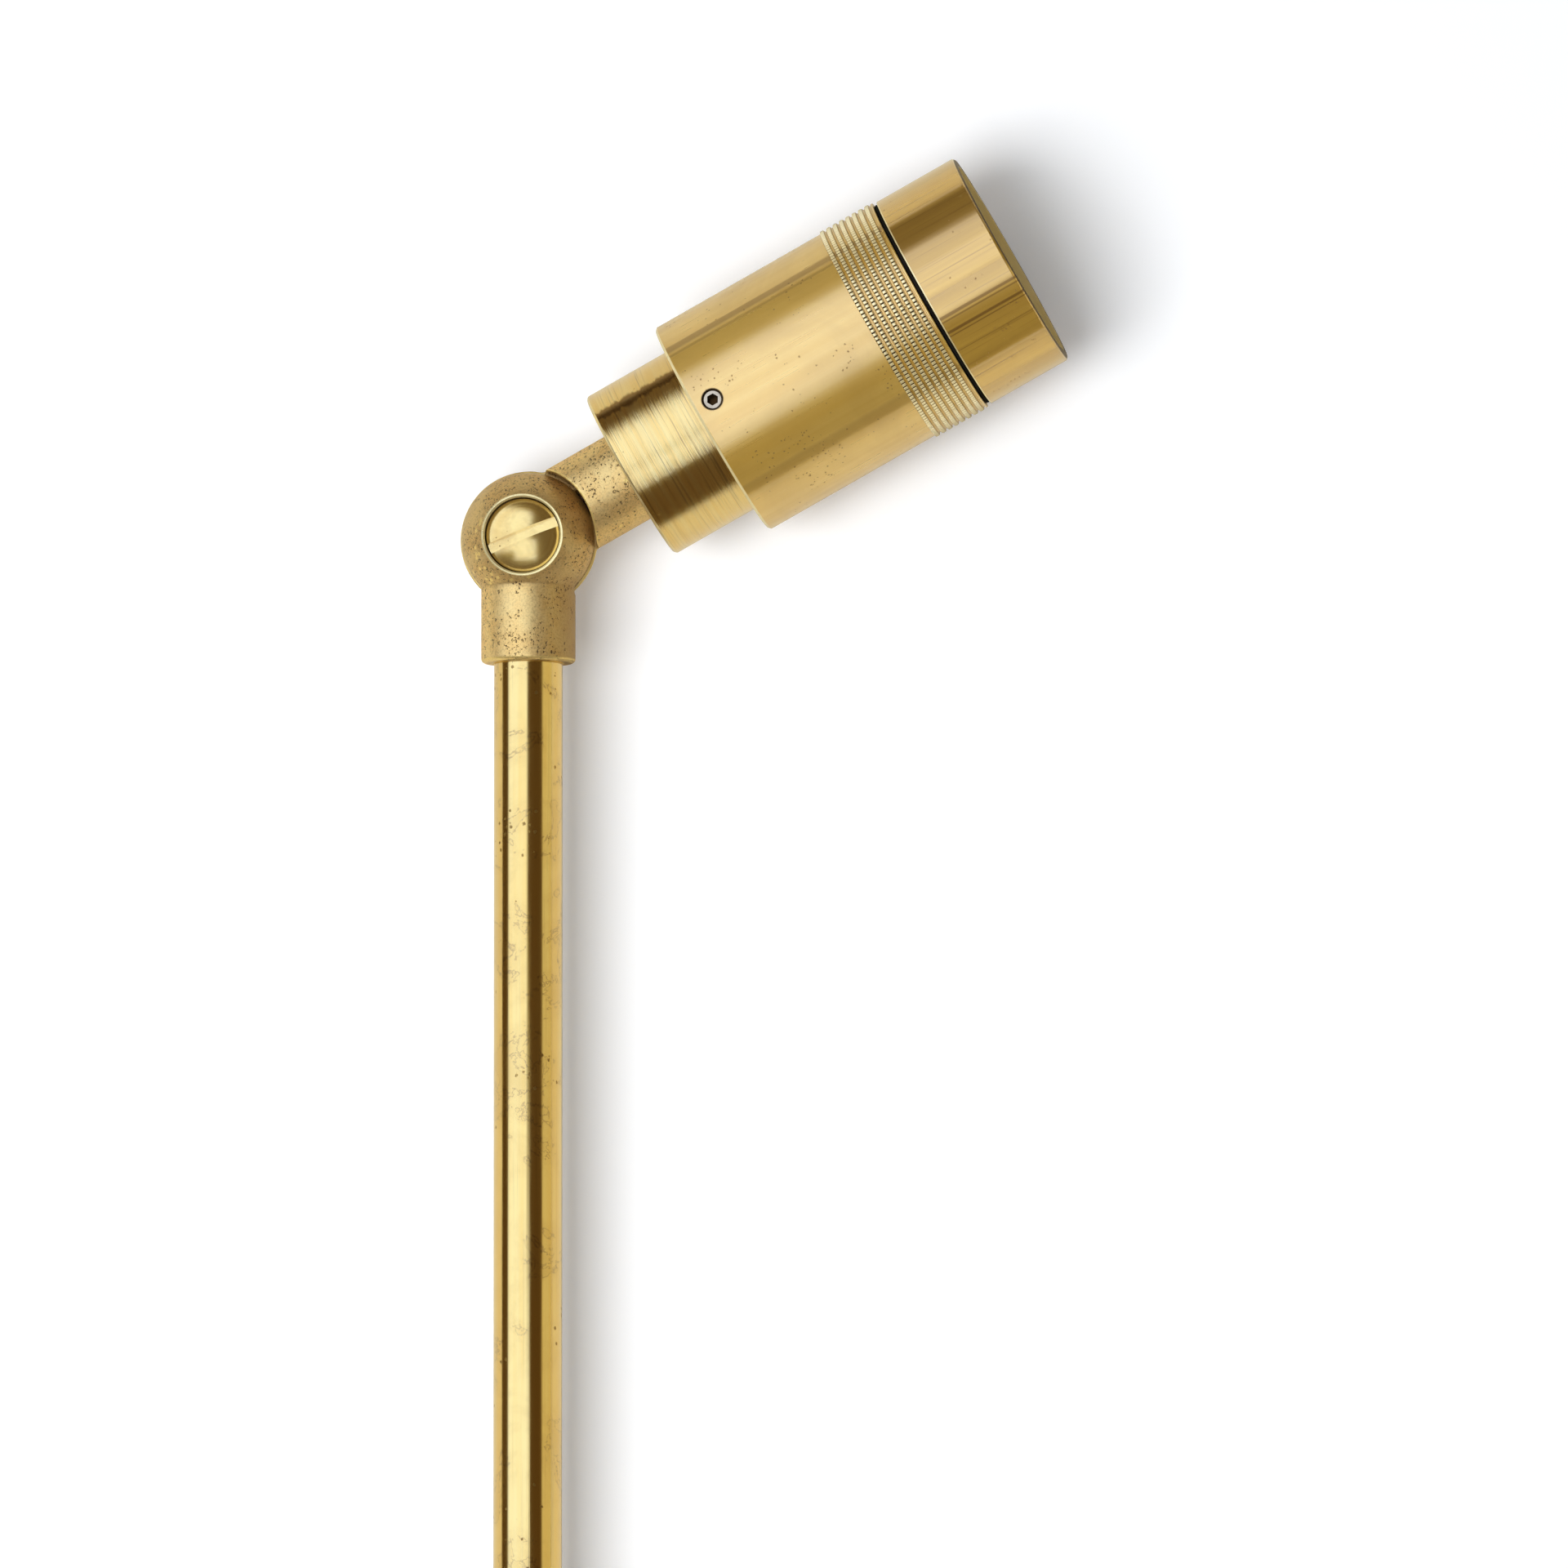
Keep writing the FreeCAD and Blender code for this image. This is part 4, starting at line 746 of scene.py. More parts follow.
def plain_finish(name, light, dark, roughness, metallic=0.0, grain=900.0, grain_height=0.00003, shine=0.5,
                 darkening=None):
    """A smaller or inner piece: mottled between two tones, with a fine grain."""
    finish, wiring, shader, vector = new_finish(name)
    age = wiring.use(TARNISH, Vector=vector, Cloud_Scale=120.0, Spot_Share=0.0)
    fine = wiring.noise(vector, grain, 3.0, 0.6)
    tone = wiring.blend(age["Clouds"], light, dark)
    # The darkening mask darkens the grub screws' hex sockets.
    if darkening is not None:
        tone = wiring.blend(darkening(wiring), tone, GRIME_AND_SHADE)
    wiring.fill(shader, Base_Color=tone, Metallic=metallic, Specular_IOR_Level=shine,
                Roughness=wiring.span(fine, 0.3, 0.7, roughness * 0.85, roughness * 1.2),
                Normal=wiring.bump(fine, grain_height))
    return finish


def clear_glass():
    """Glass with a faint bloom of dust."""
    finish, wiring, shader, vector = new_finish("clear_glass")
    age = wiring.use(TARNISH, Vector=vector, Cloud_Scale=90.0)
    wiring.fill(shader, Base_Color=wiring.blend(age["Clouds"], colour(1, 1, 1), colour(0.94, 0.97, 0.96)),
                Roughness=wiring.span(age["Clouds"], 0.0, 1.0, 0.0, 0.06), Transmission_Weight=1.0, IOR=1.5)
    return finish


WORN_BRASS = {
    "turned_brass": dict(
        place=HEAD_PLACE, tones=(BRASS, BRASS_GOLD), roughness=0.3, marks=STREAK, marks_height=0.0000004,
        clouds=0.4, spots=0.6, spot_scale=1300.0, lines=0.03, scratches=0.6, metal=0.5, lacquer=2.2,
        # Painted shade in the grip band's recesses; brown bands at set angles, partly tarnish and partly
        # painted dark reflection.
        darkening=band_painted_shade, tarnish_and_painted_dark_bands=[(-43, 3, 0.55), (-38, 1, 0.35), (45, 4, 0.3)],
        # The sleeve's rear chamfer and the grip band's crowns: cut and rubbed bright, and a painted
        # highlight.
        bright_rims_and_highlights=[(SLEEVE_REAR - 1, SLEEVE_REAR + CHAMFER, SLEEVE_BORE + 0.4, SLEEVE_RADIUS, 0.2),
              (BAND_REAR, BAND_FRONT - 0.1, CROWN_RADIUS, SLEEVE_RADIUS + 1, 0.0)]),
    "brushed_brass": dict(
        place=HEAD_PLACE, tones=(BRASS_LIGHT, BRASS), roughness=0.18, marks=LATHE, marks_height=0.00004,
        clouds=0.25, spots=0.2, spot_scale=1500.0, lines=0.65, scratches=0.4, metal=0.97, lacquer=2.2,
        # A brown band on the neck: partly tarnish, partly painted dark reflection.
        tarnish_and_painted_dark_bands=[(-40, 6, 0.85)],
        # The neck's rear chamfer: cut bright, and a painted highlight.
        bright_rims_and_highlights=[(NECK_REAR - 1, NECK_REAR + CHAMFER, NECK_RADIUS - CHAMFER, NECK_RADIUS, 0.2)]),
    "polished_brass": dict(
        place=HEAD_PLACE, tones=(BRASS_GOLD, BRASS_DEEP), roughness=0.14, marks=STREAK, marks_height=0.000002,
        # Painted dark reflection on the bezel's front face.
        clouds=0.2, spots=0.3, spot_scale=1300.0, lines=0.5, metal=0.55, darkening=front_face_painted_reflection,
        # Brown bands on the bezel darken its highlight: partly tarnish, partly painted dark reflection and
        # painted shade.
        tarnish_and_painted_dark_bands=[(-30, 15, 0.55), (-15, 7, 0.3), (9, 4, 0.2), (17, 0.9, 0.75), (19.3, 0.6, 0.6), (25, 1.0, 0.8),
               (27.2, 0.5, 0.7), (36, 0.4, 0.5)],
        # Inside the hood the wall is painted pale as painted light; the bezel's rear chamfer gets a painted
        # highlight.
        bright_rims_and_highlights=[(LIP_FRONT, BEZEL_FRONT - 0.1, LIP_BORE, HOOD_BORE + 0.1, 0.6),
              (BEZEL_REAR - 1, BEZEL_REAR + 0.3, SPIGOT_RADIUS + 0.3, SLEEVE_RADIUS + 1, 0.2)]),
    "screw_brass": dict(
        place=SCREW_PLACE, tones=(BRASS_LIGHT, BRASS), roughness=0.2, marks=LATHE, marks_height=0.00001,
        clouds=0.5, spots=0.6, spot_scale=1500.0, cloud_scale=150.0, lines=0.1, metal=0.9),
    "spike_brass": dict(
        place=POLE_PLACE, tones=(BRASS, BRASS_GOLD), roughness=0.3, marks=STREAK, marks_height=0.000001,
        clouds=0.6, tide_marks=0.3, spots=0.5, spot_scale=1100.0, cloud_scale=70.0, metal=0.6),
    "tube_brass": dict(
        place=POLE_PLACE, tones=(BRASS_LIGHT, BRASS), roughness=0.13, marks=STREAK, marks_height=0.000006,
        clouds=0.35, tide_marks=0.5, spots=0.5, spot_scale=700.0, cloud_scale=80.0, lines=0.15,
        metal=1.0),
}

PLAIN = {
    "inner_brass": dict(light=BRASS, dark=BRASS_DEEP, roughness=0.3, metallic=1.0),
    "stainless": dict(light=colour(0.64, 0.56, 0.44), dark=colour(0.42, 0.36, 0.28), roughness=0.25,
                      metallic=1.0, darkening=socket_darkening),
    "black_rubber": dict(light=colour(0.010, 0.009, 0.008), dark=colour(0.02, 0.018, 0.015), roughness=0.8,
                         shine=0.03),
    "silicone": dict(light=colour(0.55, 0.16, 0.10), dark=colour(0.45, 0.12, 0.08), roughness=0.5),
    "fibre": dict(light=colour(0.25, 0.12, 0.07), dark=colour(0.18, 0.08, 0.05), roughness=0.8),
    "insulation_brown": dict(light=colour(0.14, 0.07, 0.04), dark=colour(0.1, 0.05, 0.03), roughness=0.45),
    "ceramic": dict(light=colour(0.82, 0.80, 0.75), dark=colour(0.72, 0.69, 0.62), roughness=0.4),
    "reflector": dict(light=colour(0.86, 0.87, 0.9), dark=colour(0.8, 0.8, 0.86), roughness=0.06,
                      metallic=1.0, grain=60.0, grain_height=0.00001),
    "filament": dict(light=colour(0.32, 0.31, 0.30), dark=colour(0.2, 0.2, 0.2), roughness=0.35,
                     metallic=1.0),
}

finishes = {"cast_brass": cast_brass(), "clear_glass": clear_glass()}
finishes |= {name: worn_brass(name, **settings) for name, settings in WORN_BRASS.items()}
finishes |= {name: plain_finish(name, **settings) for name, settings in PLAIN.items()}

# ---------------------------------------------------------------- CAD nodes that stay

for node in frame["nodes"].values():
    node.data.materials[0] = finishes[node.data.materials[0].name]

# ---------------------------------------------------------------- pieces


def make_pole_tube():
    """The round tube, with its holes for the cord and for the spike's pin."""
    piece = turned("tube", [
        (TUBE_BOTTOM, TUBE_BORE, 0.1), (TUBE_BOTTOM, TUBE_RADIUS, 0.15),
        (TUBE_TOP, TUBE_RADIUS, 0.15), (TUBE_TOP, TUBE_BORE, 0.1)], SMALL_SEGMENTS, POLE_PLACE)
    inlet = Matrix.Translation((0, 0, INLET_HEIGHT)) @ Matrix.Rotation(-math.pi / 2, 4, "Y")
    carve(piece, [new_object("drill", rod_mesh(INLET_RADIUS, 0, 2 * TUBE_RADIUS), inlet), pin_drill()])
    even_shading(piece)
    return stand_for(piece, "pole_tube", "tube_brass")


def make_neck():
    """The turned cup behind the sleeve, with the flange that the sleeve slides over."""
    piece = turned("neck", [
        (NECK_REAR, THREAD_HOLE, 0), (NECK_REAR, SEAL_INNER, 0), (NECK_REAR + SEAL_DEPTH, SEAL_INNER, 0),
        (NECK_REAR + SEAL_DEPTH, SEAL_OUTER, 0), (NECK_REAR, SEAL_OUTER, 0),
        (NECK_REAR, NECK_RADIUS - CHAMFER, 0.2), (NECK_REAR + CHAMFER, NECK_RADIUS, 0.2),
        (FLANGE_REAR, NECK_RADIUS, 0.1), (FLANGE_REAR, FLANGE_RADIUS, 0.15),
        (FLANGE_GROOVE_REAR, FLANGE_RADIUS, 0), (FLANGE_GROOVE_REAR, FLANGE_GROOVE_RADIUS, 0),
        (FLANGE_GROOVE_FRONT, FLANGE_GROOVE_RADIUS, 0), (FLANGE_GROOVE_FRONT, FLANGE_RADIUS, 0),
        (FLANGE_FRONT, FLANGE_RADIUS, 0.2), (FLANGE_FRONT, NECK_BORE, 0.2),
        (NECK_REAR + NECK_FLOOR, NECK_BORE, 0.4), (NECK_REAR + NECK_FLOOR, THREAD_HOLE, 0.1)],
        WIDE_SEGMENTS, HEAD_PLACE)
    carve(piece, grub_drills())
    even_shading(piece)
    return stand_for(piece, "neck_housing", "brushed_brass")


def ridge_corners():
    """The grip band's ridges, lower than their teeth, and the smooth lip in front of them."""
    corners = []
    for number in range(RIDGES):
        rear = BAND_REAR + number * RIDGE_PITCH
        front = rear + RIDGE_WIDTH
        corners += [(rear, RIDGE_SHOULDER, 0), (front, RIDGE_SHOULDER, 0),
                    (front + RIDGE_SLOPE, RIDGE_FLOOR, 0), (rear + RIDGE_PITCH - RIDGE_SLOPE, RIDGE_FLOOR, 0)]
    lip_radius = RIDGE_CREST - 0.2
    return corners + [(BAND_FRONT, lip_radius, 0.05), (SLEEVE_FRONT - 0.1, lip_radius, 0.05)]


def tooth_mesh(rear, turn):
    """One tooth of the grip band, a small blunt pyramid with its foot in the ridge."""
    bm = bmesh.new()
    foot = RIDGE_SHOULDER - 0.1
    around = 2 * math.pi * RIDGE_CREST / TEETH
    bmesh.ops.create_cube(bm, size=1.0)
    top = [vert for vert in bm.verts if vert.co.x > 0]
    bmesh.ops.scale(bm, vec=TOOTH_TOP, verts=top)
    bmesh.ops.bevel(bm, geom=[edge for edge in bm.edges if all(vert in top for vert in edge.verts)],
                    offset=TOOTH_ROUNDING, segments=2, profile=0.5, affect="EDGES", material=-1)
    bmesh.ops.scale(bm, vec=(RIDGE_CREST - foot, around * TOOTH_SHARE, RIDGE_WIDTH), verts=bm.verts)
    bmesh.ops.translate(bm, vec=((RIDGE_CREST + foot) / 2, 0, rear + RIDGE_WIDTH / 2), verts=bm.verts)
    bmesh.ops.rotate(bm, cent=(0, 0, 0), matrix=Matrix.Rotation(turn, 3, "Z"), verts=bm.verts)
    return bm


def teeth_mesh():
    """Every tooth of the grip band, each ridge's teeth a little further round than the last ridge's."""
    bm = bmesh.new()
    pitch = 2 * math.pi / TEETH
    for number in range(RIDGES):
        tooth = tooth_mesh(BAND_REAR + number * RIDGE_PITCH, number * TOOTH_SHIFT * pitch)
        shape = bpy.data.meshes.new("tooth")
        tooth.to_mesh(shape)
        tooth.free()
        before = len(bm.faces)
        bm.from_mesh(shape)
        bm.faces.ensure_lookup_table()
        new_faces = bm.faces[before:]
        parts = set(new_faces)
        for face in new_faces:
            parts.update(face.verts)
            parts.update(face.edges)
        bmesh.ops.spin(bm, geom=list(parts), cent=(0, 0, 0), axis=(0, 0, 1),
                       angle=2 * math.pi - pitch, steps=TEETH - 1, use_duplicate=True)
        bpy.data.meshes.remove(shape)
    bmesh.ops.recalc_face_normals(bm, faces=bm.faces)
    return bm


def make_sleeve():
    """The barrel, with its grip band cut tooth by tooth."""
    piece = turned("sleeve", [
        (SLEEVE_REAR, SLEEVE_BORE, 0.1), (SLEEVE_REAR, SLEEVE_RADIUS - CHAMFER, 0.15),
        (SLEEVE_REAR + CHAMFER, SLEEVE_RADIUS, 0.2), (BAND_REAR, SLEEVE_RADIUS, 0),
        *ridge_corners(),
        (SLEEVE_FRONT, SLEEVE_RADIUS, 0.1), (SLEEVE_FRONT, SLEEVE_BORE, 0.1)], WIDE_SEGMENTS, HEAD_PLACE)
    carve(piece, grub_drills())
    join(piece, [new_object("teeth", teeth_mesh(), HEAD_PLACE)])
    even_shading(piece)
    return stand_for(piece, "main_sleeve", "turned_brass")


def make_bezel():
    """The front ring: its spigot in the sleeve, the lip that holds the glass, and the hood."""
    piece = turned("bezel", [
        (SPIGOT_REAR, BEZEL_BORE, 0.15), (SPIGOT_REAR, SPIGOT_RADIUS - CHAMFER, 0.1),
        (SPIGOT_REAR + CHAMFER, SPIGOT_RADIUS, 0.1), (BEZEL_REAR, SPIGOT_RADIUS, 0),
        (BEZEL_REAR, SLEEVE_RADIUS, 0.15), (BEZEL_FRONT - CHAMFER, SLEEVE_RADIUS, 0.15),
        (BEZEL_FRONT, SLEEVE_RADIUS - CHAMFER, 0.12), (BEZEL_FRONT, HOOD_BORE, 0.2),
        (LIP_FRONT, HOOD_BORE, 0.3), (LIP_FRONT, LIP_BORE, 0.2),
        (LIP_REAR, LIP_BORE, 0.1), (LIP_REAR, BEZEL_BORE, 0)], WIDE_SEGMENTS, HEAD_PLACE)
    even_shading(piece)
    return stand_for(piece, "front_bezel", "polished_brass")


def make_casting(name, node):
    """A casting's CAD shape with its hard edges softened, as sand leaves them."""
    bm = bmesh.new()
    bm.from_mesh(frame["nodes"][node].data)
    bmesh.ops.remove_doubles(bm, verts=bm.verts, dist=1e-6)
    piece = new_object(name, bm, Matrix.Scale(1 / MM, 4))
    skin = piece.modifiers.new("sand skin", "REMESH")
    skin.mode = "VOXEL"
    skin.voxel_size = CASTING_GRAIN * MM
    skin.use_smooth_shade = True
    soft = piece.modifiers.new("soft edges", "SMOOTH")
    soft.factor = 0.5
    soft.iterations = 6
    settle(piece)
    return stand_for(piece, node, "cast_brass")


def add_screw_seat(casting):
    """The machined counterbore and its bright chamfer, which the sand did not soften."""
    seat = turned("seat", [
        (SEAT_MOUTH - SEAT_DEPTH, SEAT_RADIUS, 0), (SEAT_MOUTH, SEAT_RADIUS, 0.05),
        (SEAT_MOUTH + SEAT_SLOPE, SEAT_RIM, 0.05), (SEAT_MOUTH, SEAT_RIM + SEAT_SKIN, 0),
        (SEAT_MOUTH - SEAT_DEPTH, SEAT_RIM + SEAT_SKIN, 0)], WIDE_SEGMENTS, SCREW_PLACE)
    join(casting, [seat])


def dome_corners():
    """Points of the screw's shallow dome, from its rim to its middle."""
    sphere = (SCREW_HEAD_RADIUS ** 2 + SCREW_DOME ** 2) / (2 * SCREW_DOME)
    radii = [SCREW_HEAD_RADIUS * (1 - step / DOME_STEPS) for step in range(DOME_STEPS)]
    rim = [(SCREW_PEAK - sphere + math.sqrt(sphere ** 2 - radius ** 2), radius, 0) for radius in radii]
    return rim + [(SCREW_PEAK, 0, 0)]


def make_knuckle_screw():
    """The slotted screw, with its low turned dome."""
    piece = turned("screw", [
        (-SCREW_END, 0, 0), (-SCREW_END, SCREW_RADIUS - CHAMFER, 0.1),
        (CHAMFER - SCREW_END, SCREW_RADIUS, 0.1), (SCREW_SEAT, SCREW_RADIUS, 0),
        (SCREW_SEAT, SCREW_HEAD_RADIUS, 0.2), *dome_corners()], WIDE_SEGMENTS, SCREW_PLACE)
    depth = SCREW_PEAK - SLOT_FLOOR
    slot = block_mesh(3 * SCREW_HEAD_RADIUS, SLOT_WIDTH, 2 * depth, (0, 0, SCREW_PEAK), SLOT_TURN)
    carve(piece, [new_object("slot", slot, SCREW_PLACE)])
    break_edges(piece, SCREW_EDGE)
    even_shading(piece)
    return stand_for(piece, "knuckle_screw", "polished_brass", "screw_brass")


def make_grub_screws():
    """The three grub screws in one mesh, each with a broken edge and its hex socket."""
    socket_radius = GRUB_SOCKET_FLATS / math.sqrt(3)
    pieces = []
    for turn in GRUB_TURNS:
        place = radial_place(GRUB_HEIGHT, turn)
        screw = turned("grub", [
            (GRUB_INNER_END, 0, 0), (GRUB_INNER_END, GRUB_RADIUS - GRUB_POINT, 0.1),
            (GRUB_INNER_END + GRUB_POINT, GRUB_RADIUS, 0.1), (GRUB_OUTER_END - GRUB_EDGE, GRUB_RADIUS, 0.1),
            (GRUB_OUTER_END, GRUB_RADIUS - GRUB_EDGE, 0.1), (GRUB_OUTER_END, 0, 0)], GRUB_SEGMENTS, place)
        socket = rod_mesh(socket_radius, GRUB_OUTER_END - GRUB_SOCKET_DEPTH, GRUB_OUTER_END + 1, 6)
        carve(screw, [new_object("socket", socket, place)])
        pieces.append(screw)
    first = pieces[0]
    join(first, pieces[1:])
    first.name = "grub_screws"
    even_shading(first)
    return stand_for(first, "sleeve_grub_screws", "stainless")


def bowl_corners(shrink):
    """Points of the lamp's bowl from the throat to the shoulder, this far inside its outer skin."""
    depth = LAMP_DEPTH - shrink
    radius = LAMP_RADIUS - shrink
    start = math.asin((LAMP_SHOULDER - LAMP_THROAT) / depth)
    angles = [start * (1 - ring / FACET_RINGS) for ring in range(FACET_RINGS + 1)]
    return [(LAMP_SHOULDER - depth * math.sin(angle), radius * math.cos(angle), 0) for angle in angles]


def make_lamp_reflector():
    """The lamp's pressed glass bowl, all facets inside."""
    inside = bowl_corners(LAMP_SKIN)
    outside = bowl_corners(0)
    seat = LAMP_FRONT - COVER_THICKNESS
    rim = [(seat, LAMP_RADIUS - LAMP_SKIN, 0), (seat, LAMP_RADIUS - LAMP_SKIN / 2, 0),
           (LAMP_FRONT, LAMP_RADIUS - LAMP_SKIN / 2, 0), (LAMP_FRONT, LAMP_RADIUS, 0)]
    piece = turned("lamp_bowl", inside + rim + outside[::-1], FACETS_ROUND, HEAD_PLACE)
    for face in piece.data.polygons:
        face.use_smooth = False
    return stand_for(piece, "lamp_reflector", "reflector")


def make_spike():
    """The ground spike, with its shoulder and the spigot that the tube slides over."""
    spigot = TUBE_BORE - 0.02
    piece = turned("spike", [
        (-SHANK_LENGTH - POINT_LENGTH, 0, 0), (-SHANK_LENGTH - POINT_LENGTH, TIP_RADIUS, 0.3),
        (-SHANK_LENGTH, SHANK_RADIUS, 0.3), (0, SHANK_RADIUS, 0.1), (0, TUBE_RADIUS, 0.3),
        (TUBE_BOTTOM, TUBE_RADIUS, 0.2), (TUBE_BOTTOM, spigot, 0), (SPIGOT_TOP - CHAMFER, spigot, 0.1),
        (SPIGOT_TOP, spigot - CHAMFER, 0.1), (SPIGOT_TOP, 0, 0)], SMALL_SEGMENTS, POLE_PLACE)
    carve(piece, [pin_drill()])
    even_shading(piece)
    return stand_for(piece, "ground_spike", "turned_brass", "spike_brass")


make_pole_tube()
make_neck()
make_sleeve()
make_bezel()
add_screw_seat(make_casting("lower_casting", "lower_knuckle"))
make_casting("arm_casting", "knuckle_arm")
make_knuckle_screw()
make_grub_screws()
make_lamp_reflector()
make_spike()

# ---------------------------------------------------------------- camera, floor and light

CAMERA_TURN = math.radians(6.43)
CAMERA_RISE = math.radians(-4.96)
CAMERA_DISTANCE = 6.0
LENS = 590.6
SENSOR = 36
AIM_RIGHT = 0.0596
AIM_DOWN = 0.0570


def direction(turn, rise):
    """A unit vector turned from -Y towards +X, then raised."""
    return Vector((math.sin(turn) * math.cos(rise), -math.cos(turn) * math.cos(rise), math.sin(rise)))


def make_camera():
    """A long lens far away, aimed below and to the right of the hinge."""
    back = direction(CAMERA_TURN, CAMERA_RISE)
    right = Vector((math.cos(CAMERA_TURN), math.sin(CAMERA_TURN), 0))
    up = back.cross(right)
    aim = MM * hinge + AIM_RIGHT * right - AIM_DOWN * up
    data = bpy.data.cameras.new("camera")
    data.lens = LENS
    data.sensor_width = SENSOR
    camera = bpy.data.objects.new("camera", data)
    bpy.context.scene.collection.objects.link(camera)
    turn = Matrix((right, up, back)).transposed().to_4x4()
    camera.matrix_world = Matrix.Translation(aim + CAMERA_DISTANCE * back) @ turn
    bpy.context.scene.camera = camera


SHEET_BEHIND = 0.0285
SHEET_SIZE = 2.4
SHEET_WHITE = colour(0.98, 1.0, 1.03)
SHEET_GREY = colour(0.74, 0.68, 0.52)
SHEET_GLOW = 0.12
STAND_OFF = 1.6
CARD_FADE = 0.14
WINDOW_TONE = colour(1.07, 1.16, 1.32)
SIDE_TONE = colour(0.64, 0.56, 0.32)
SOFT_LAMP = (-20, -11, 0.95, 0.75)
LAMP_STRENGTH = 9.6
ROOM_RADIUS = 5.0
ROOM_TONE = colour(0.09, 0.052, 0.018)
WORLD_STRENGTH = 0.3

# Like the soft lamp, each card is placed by degrees right of the camera and up, then width and height.
# Only metal and glass see the cards.
CARDS = [
    ("window_card", -36, 13, 2.5, 2.2, WINDOW_TONE),
    ("low_window_card", -9, -16, 1.05, 0.95, WINDOW_TONE),
    ("side_card", 73, 8, 1.7, 1.3, SIDE_TONE),
]


def panel(name, centre, towards, width, height):
    """A flat stage panel that faces a point, in metres. Its UV runs from 0 to 1 both ways."""
    bm = bmesh.new()
    bm.loops.layers.uv.new("panel")
    bmesh.ops.create_grid(bm, x_segments=1, y_segments=1, size=0.5, calc_uvs=True)
    bmesh.ops.scale(bm, vec=(width, height, 1), verts=bm.verts)
    turn = (Vector(towards) - Vector(centre)).to_track_quat("Z", "Y").to_matrix().to_4x4()
    piece = new_object(name, bm, Matrix.Scale(1 / MM, 4) @ Matrix.Translation(centre) @ turn)
    return piece


def show_only(piece, **rays):
    """Only the rays that are named see the piece."""
    for ray in ("camera", "diffuse", "glossy", "transmission", "volume_scatter", "shadow"):
        setattr(piece, f"visible_{ray}", rays.get(ray, False))


def stage_finish(name):
    """An empty material, its wiring, and the socket for its surface."""
    finish = bpy.data.materials.new(name)
    finish.use_nodes = True
    nodes = finish.node_tree.nodes
    nodes.remove(nodes["Principled BSDF"])
    return finish, Wiring(finish.node_tree), nodes["Material Output"].inputs["Surface"]


def glowing(name, tone, strength=1.0, soft_edge=0.0):
    """Emission, for a light panel or the room. A soft edge is a share of the panel that fades to clear."""
    finish, wiring, surface = stage_finish(name)
    glow = wiring.node("ShaderNodeEmission")
    wiring.fill(glow, Color=tone, Strength=strength)
    if soft_edge == 0:
        wiring.feed(surface, glow.outputs[0])
        return finish
    parts = wiring.split(wiring.node("ShaderNodeTexCoord").outputs["UV"])
    inside = [wiring.span(wiring.calculate("PINGPONG", parts[axis], 0.5), 0.0, soft_edge) for axis in "XY"]
    fade = wiring.node("ShaderNodeMixShader")
    wiring.feed(fade.inputs[0], wiring.times(*inside))
    wiring.feed(fade.inputs[1], wiring.node("ShaderNodeBsdfTransparent").outputs[0])
    wiring.feed(fade.inputs[2], glow.outputs[0])
    wiring.feed(surface, fade.outputs[0])
    return finish


def sheet_finish():
    """White card: pale and matt, lit up a little for the camera, and clear from behind."""
    finish, wiring, surface = stage_finish("pale_card")
    matt = wiring.node("ShaderNodeBsdfDiffuse")
    glow = wiring.node("ShaderNodeEmission")
    seen = wiring.node("ShaderNodeLightPath").outputs["Is Camera Ray"]
    wiring.fill(matt, Color=wiring.blend(seen, SHEET_GREY, SHEET_WHITE))
    wiring.fill(glow, Strength=wiring.times(seen, SHEET_GLOW))
    both = wiring.node("ShaderNodeAddShader")
    wiring.feed(both.inputs[0], matt.outputs[0])
    wiring.feed(both.inputs[1], glow.outputs[0])
    clear = wiring.node("ShaderNodeBsdfTransparent")
    sides = wiring.node("ShaderNodeMixShader")
    wiring.feed(sides.inputs[0], wiring.node("ShaderNodeNewGeometry").outputs["Backfacing"])
    wiring.feed(sides.inputs[1], both.outputs[0])
    wiring.feed(sides.inputs[2], clear.outputs[0])
    wiring.feed(surface, sides.outputs[0])
    return finish


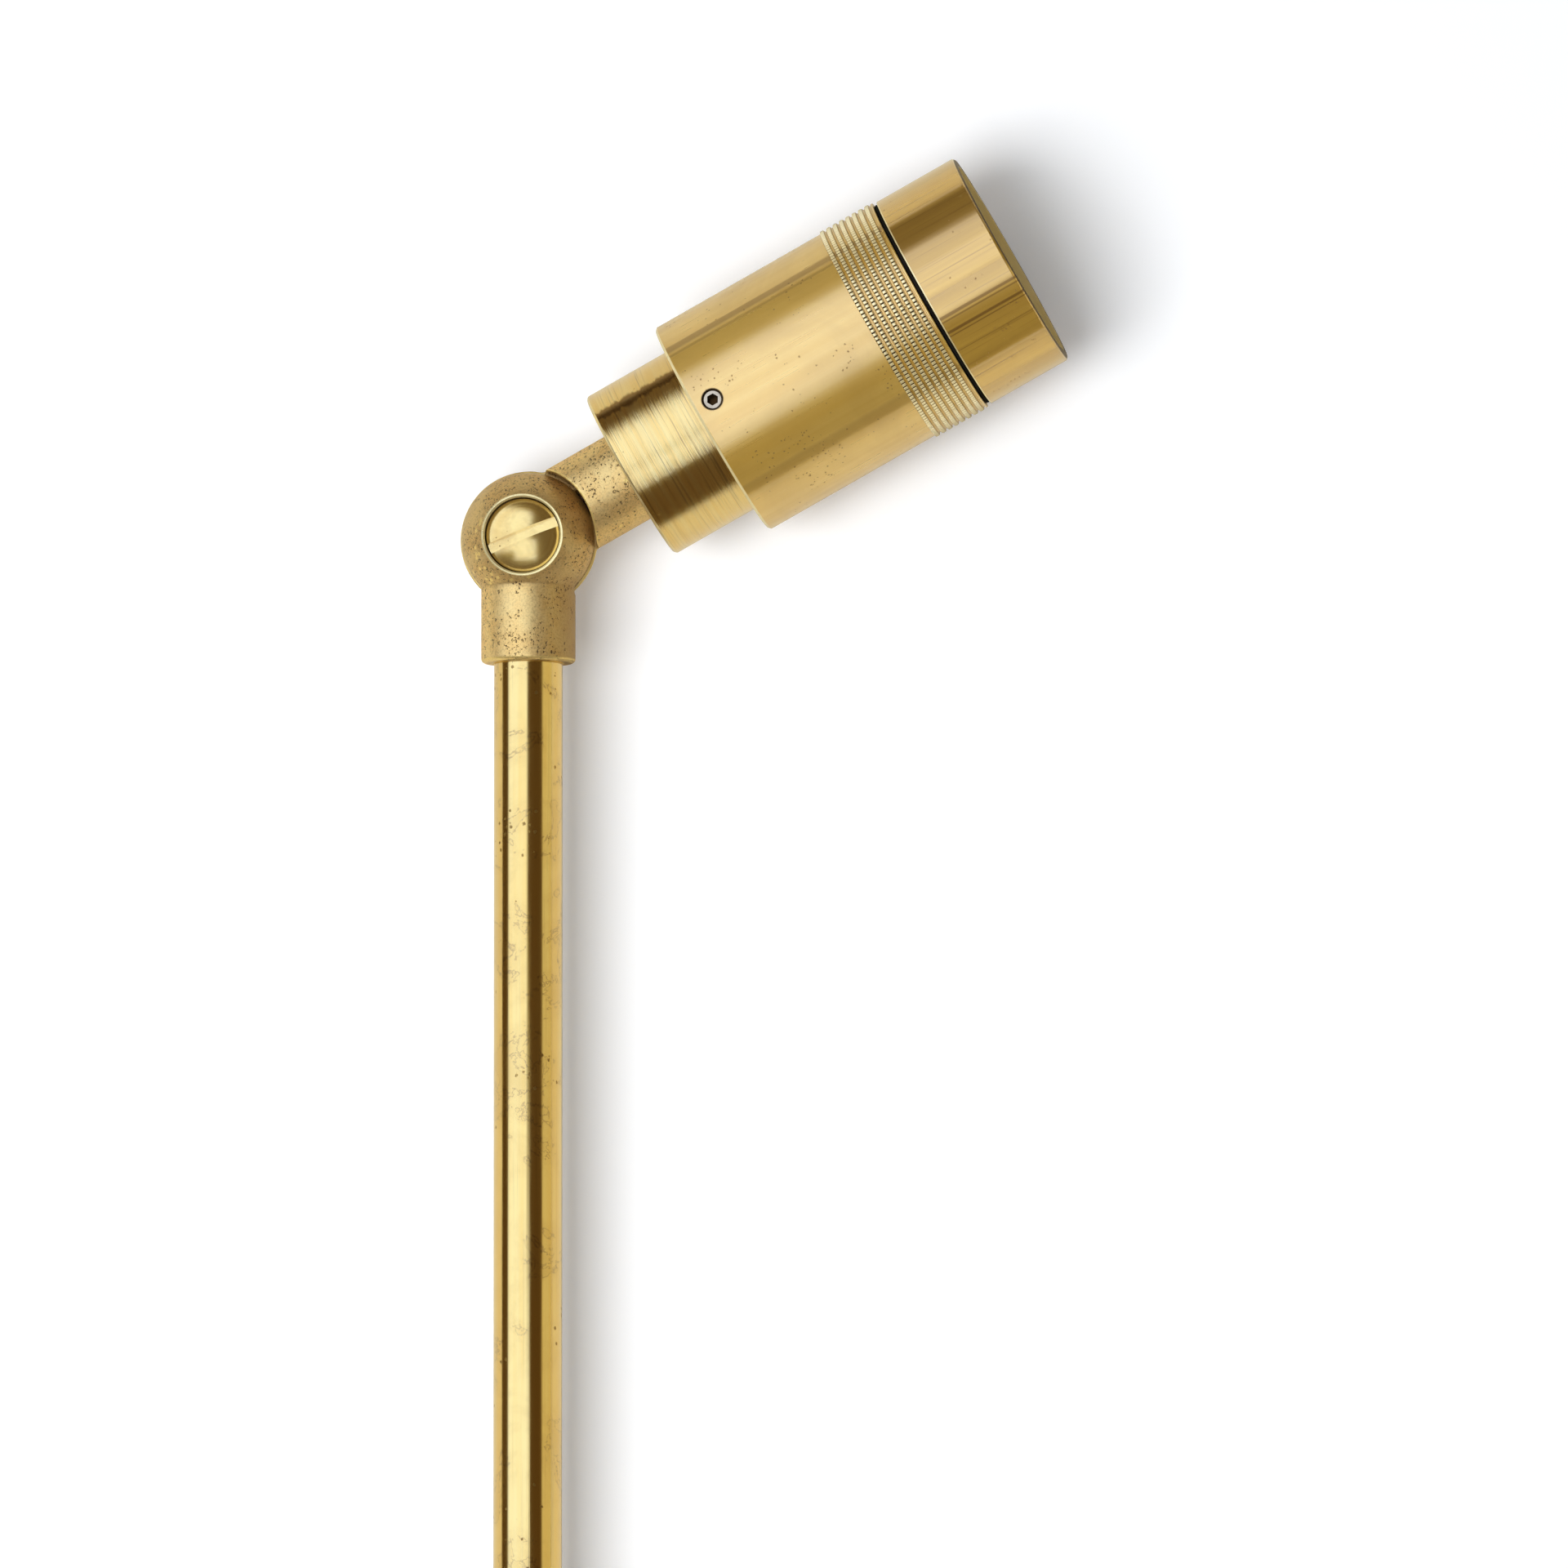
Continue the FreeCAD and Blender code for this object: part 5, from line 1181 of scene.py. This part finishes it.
def facing_hinge(name, turn, rise, width, height):
    """A stage panel that faces the hinge, by degrees to the right of the camera and up from level."""
    outwards = direction(CAMERA_TURN + math.radians(turn), math.radians(rise))
    return panel(name, MM * hinge + STAND_OFF * outwards, MM * hinge, width, height)


def make_stage():
    """The pale floor just behind the head, the cards, the soft lamp, and a dark room for metal to mirror."""
    sheet = panel("pale_floor", (0, SHEET_BEHIND, MM * HINGE_HEIGHT), (0, -1, MM * HINGE_HEIGHT),
                  SHEET_SIZE, SHEET_SIZE)
    sheet.data.materials.append(sheet_finish())
    for name, turn, rise, width, height, tone in CARDS:
        card = facing_hinge(name, turn, rise, width, height)
        card.data.materials.append(glowing(f"{name}_glow", tone, soft_edge=CARD_FADE))
        show_only(card, glossy=True, transmission=True)
    lamp = facing_hinge("soft_lamp", *SOFT_LAMP)
    lamp.data.materials.append(glowing("lamp_glow", colour(1, 1, 1), LAMP_STRENGTH))
    show_only(lamp, diffuse=True)
    bm = bmesh.new()
    bmesh.ops.create_uvsphere(bm, u_segments=48, v_segments=24, radius=ROOM_RADIUS)
    bmesh.ops.bisect_plane(bm, geom=bm.verts[:] + bm.edges[:] + bm.faces[:], plane_co=(0, SHEET_BEHIND, 0),
                           plane_no=(0, 1, 0), clear_outer=True)
    room = new_object("dark_room", bm, Matrix.Scale(1 / MM, 4))
    room.data.materials.append(glowing("room_gloom", ROOM_TONE))
    show_only(room, glossy=True)


def make_world():
    """White to the camera, to metal and to glass, and softer as light."""
    world = bpy.data.worlds.new("studio")
    bpy.context.scene.world = world
    world.use_nodes = True
    wiring = Wiring(world.node_tree)
    rays = wiring.node("ShaderNodeLightPath").outputs
    direct = wiring.plus(rays["Is Camera Ray"], rays["Is Glossy Ray"])
    direct = wiring.calculate("ADD", direct, rays["Is Transmission Ray"], clamp=True)
    wiring.fill(world.node_tree.nodes["Background"], Color=colour(1, 1, 1),
                Strength=wiring.span(direct, 0.0, 1.0, WORLD_STRENGTH, 1.0))


make_camera()
make_stage()
make_world()
bpy.context.scene.view_settings.view_transform = "Standard"
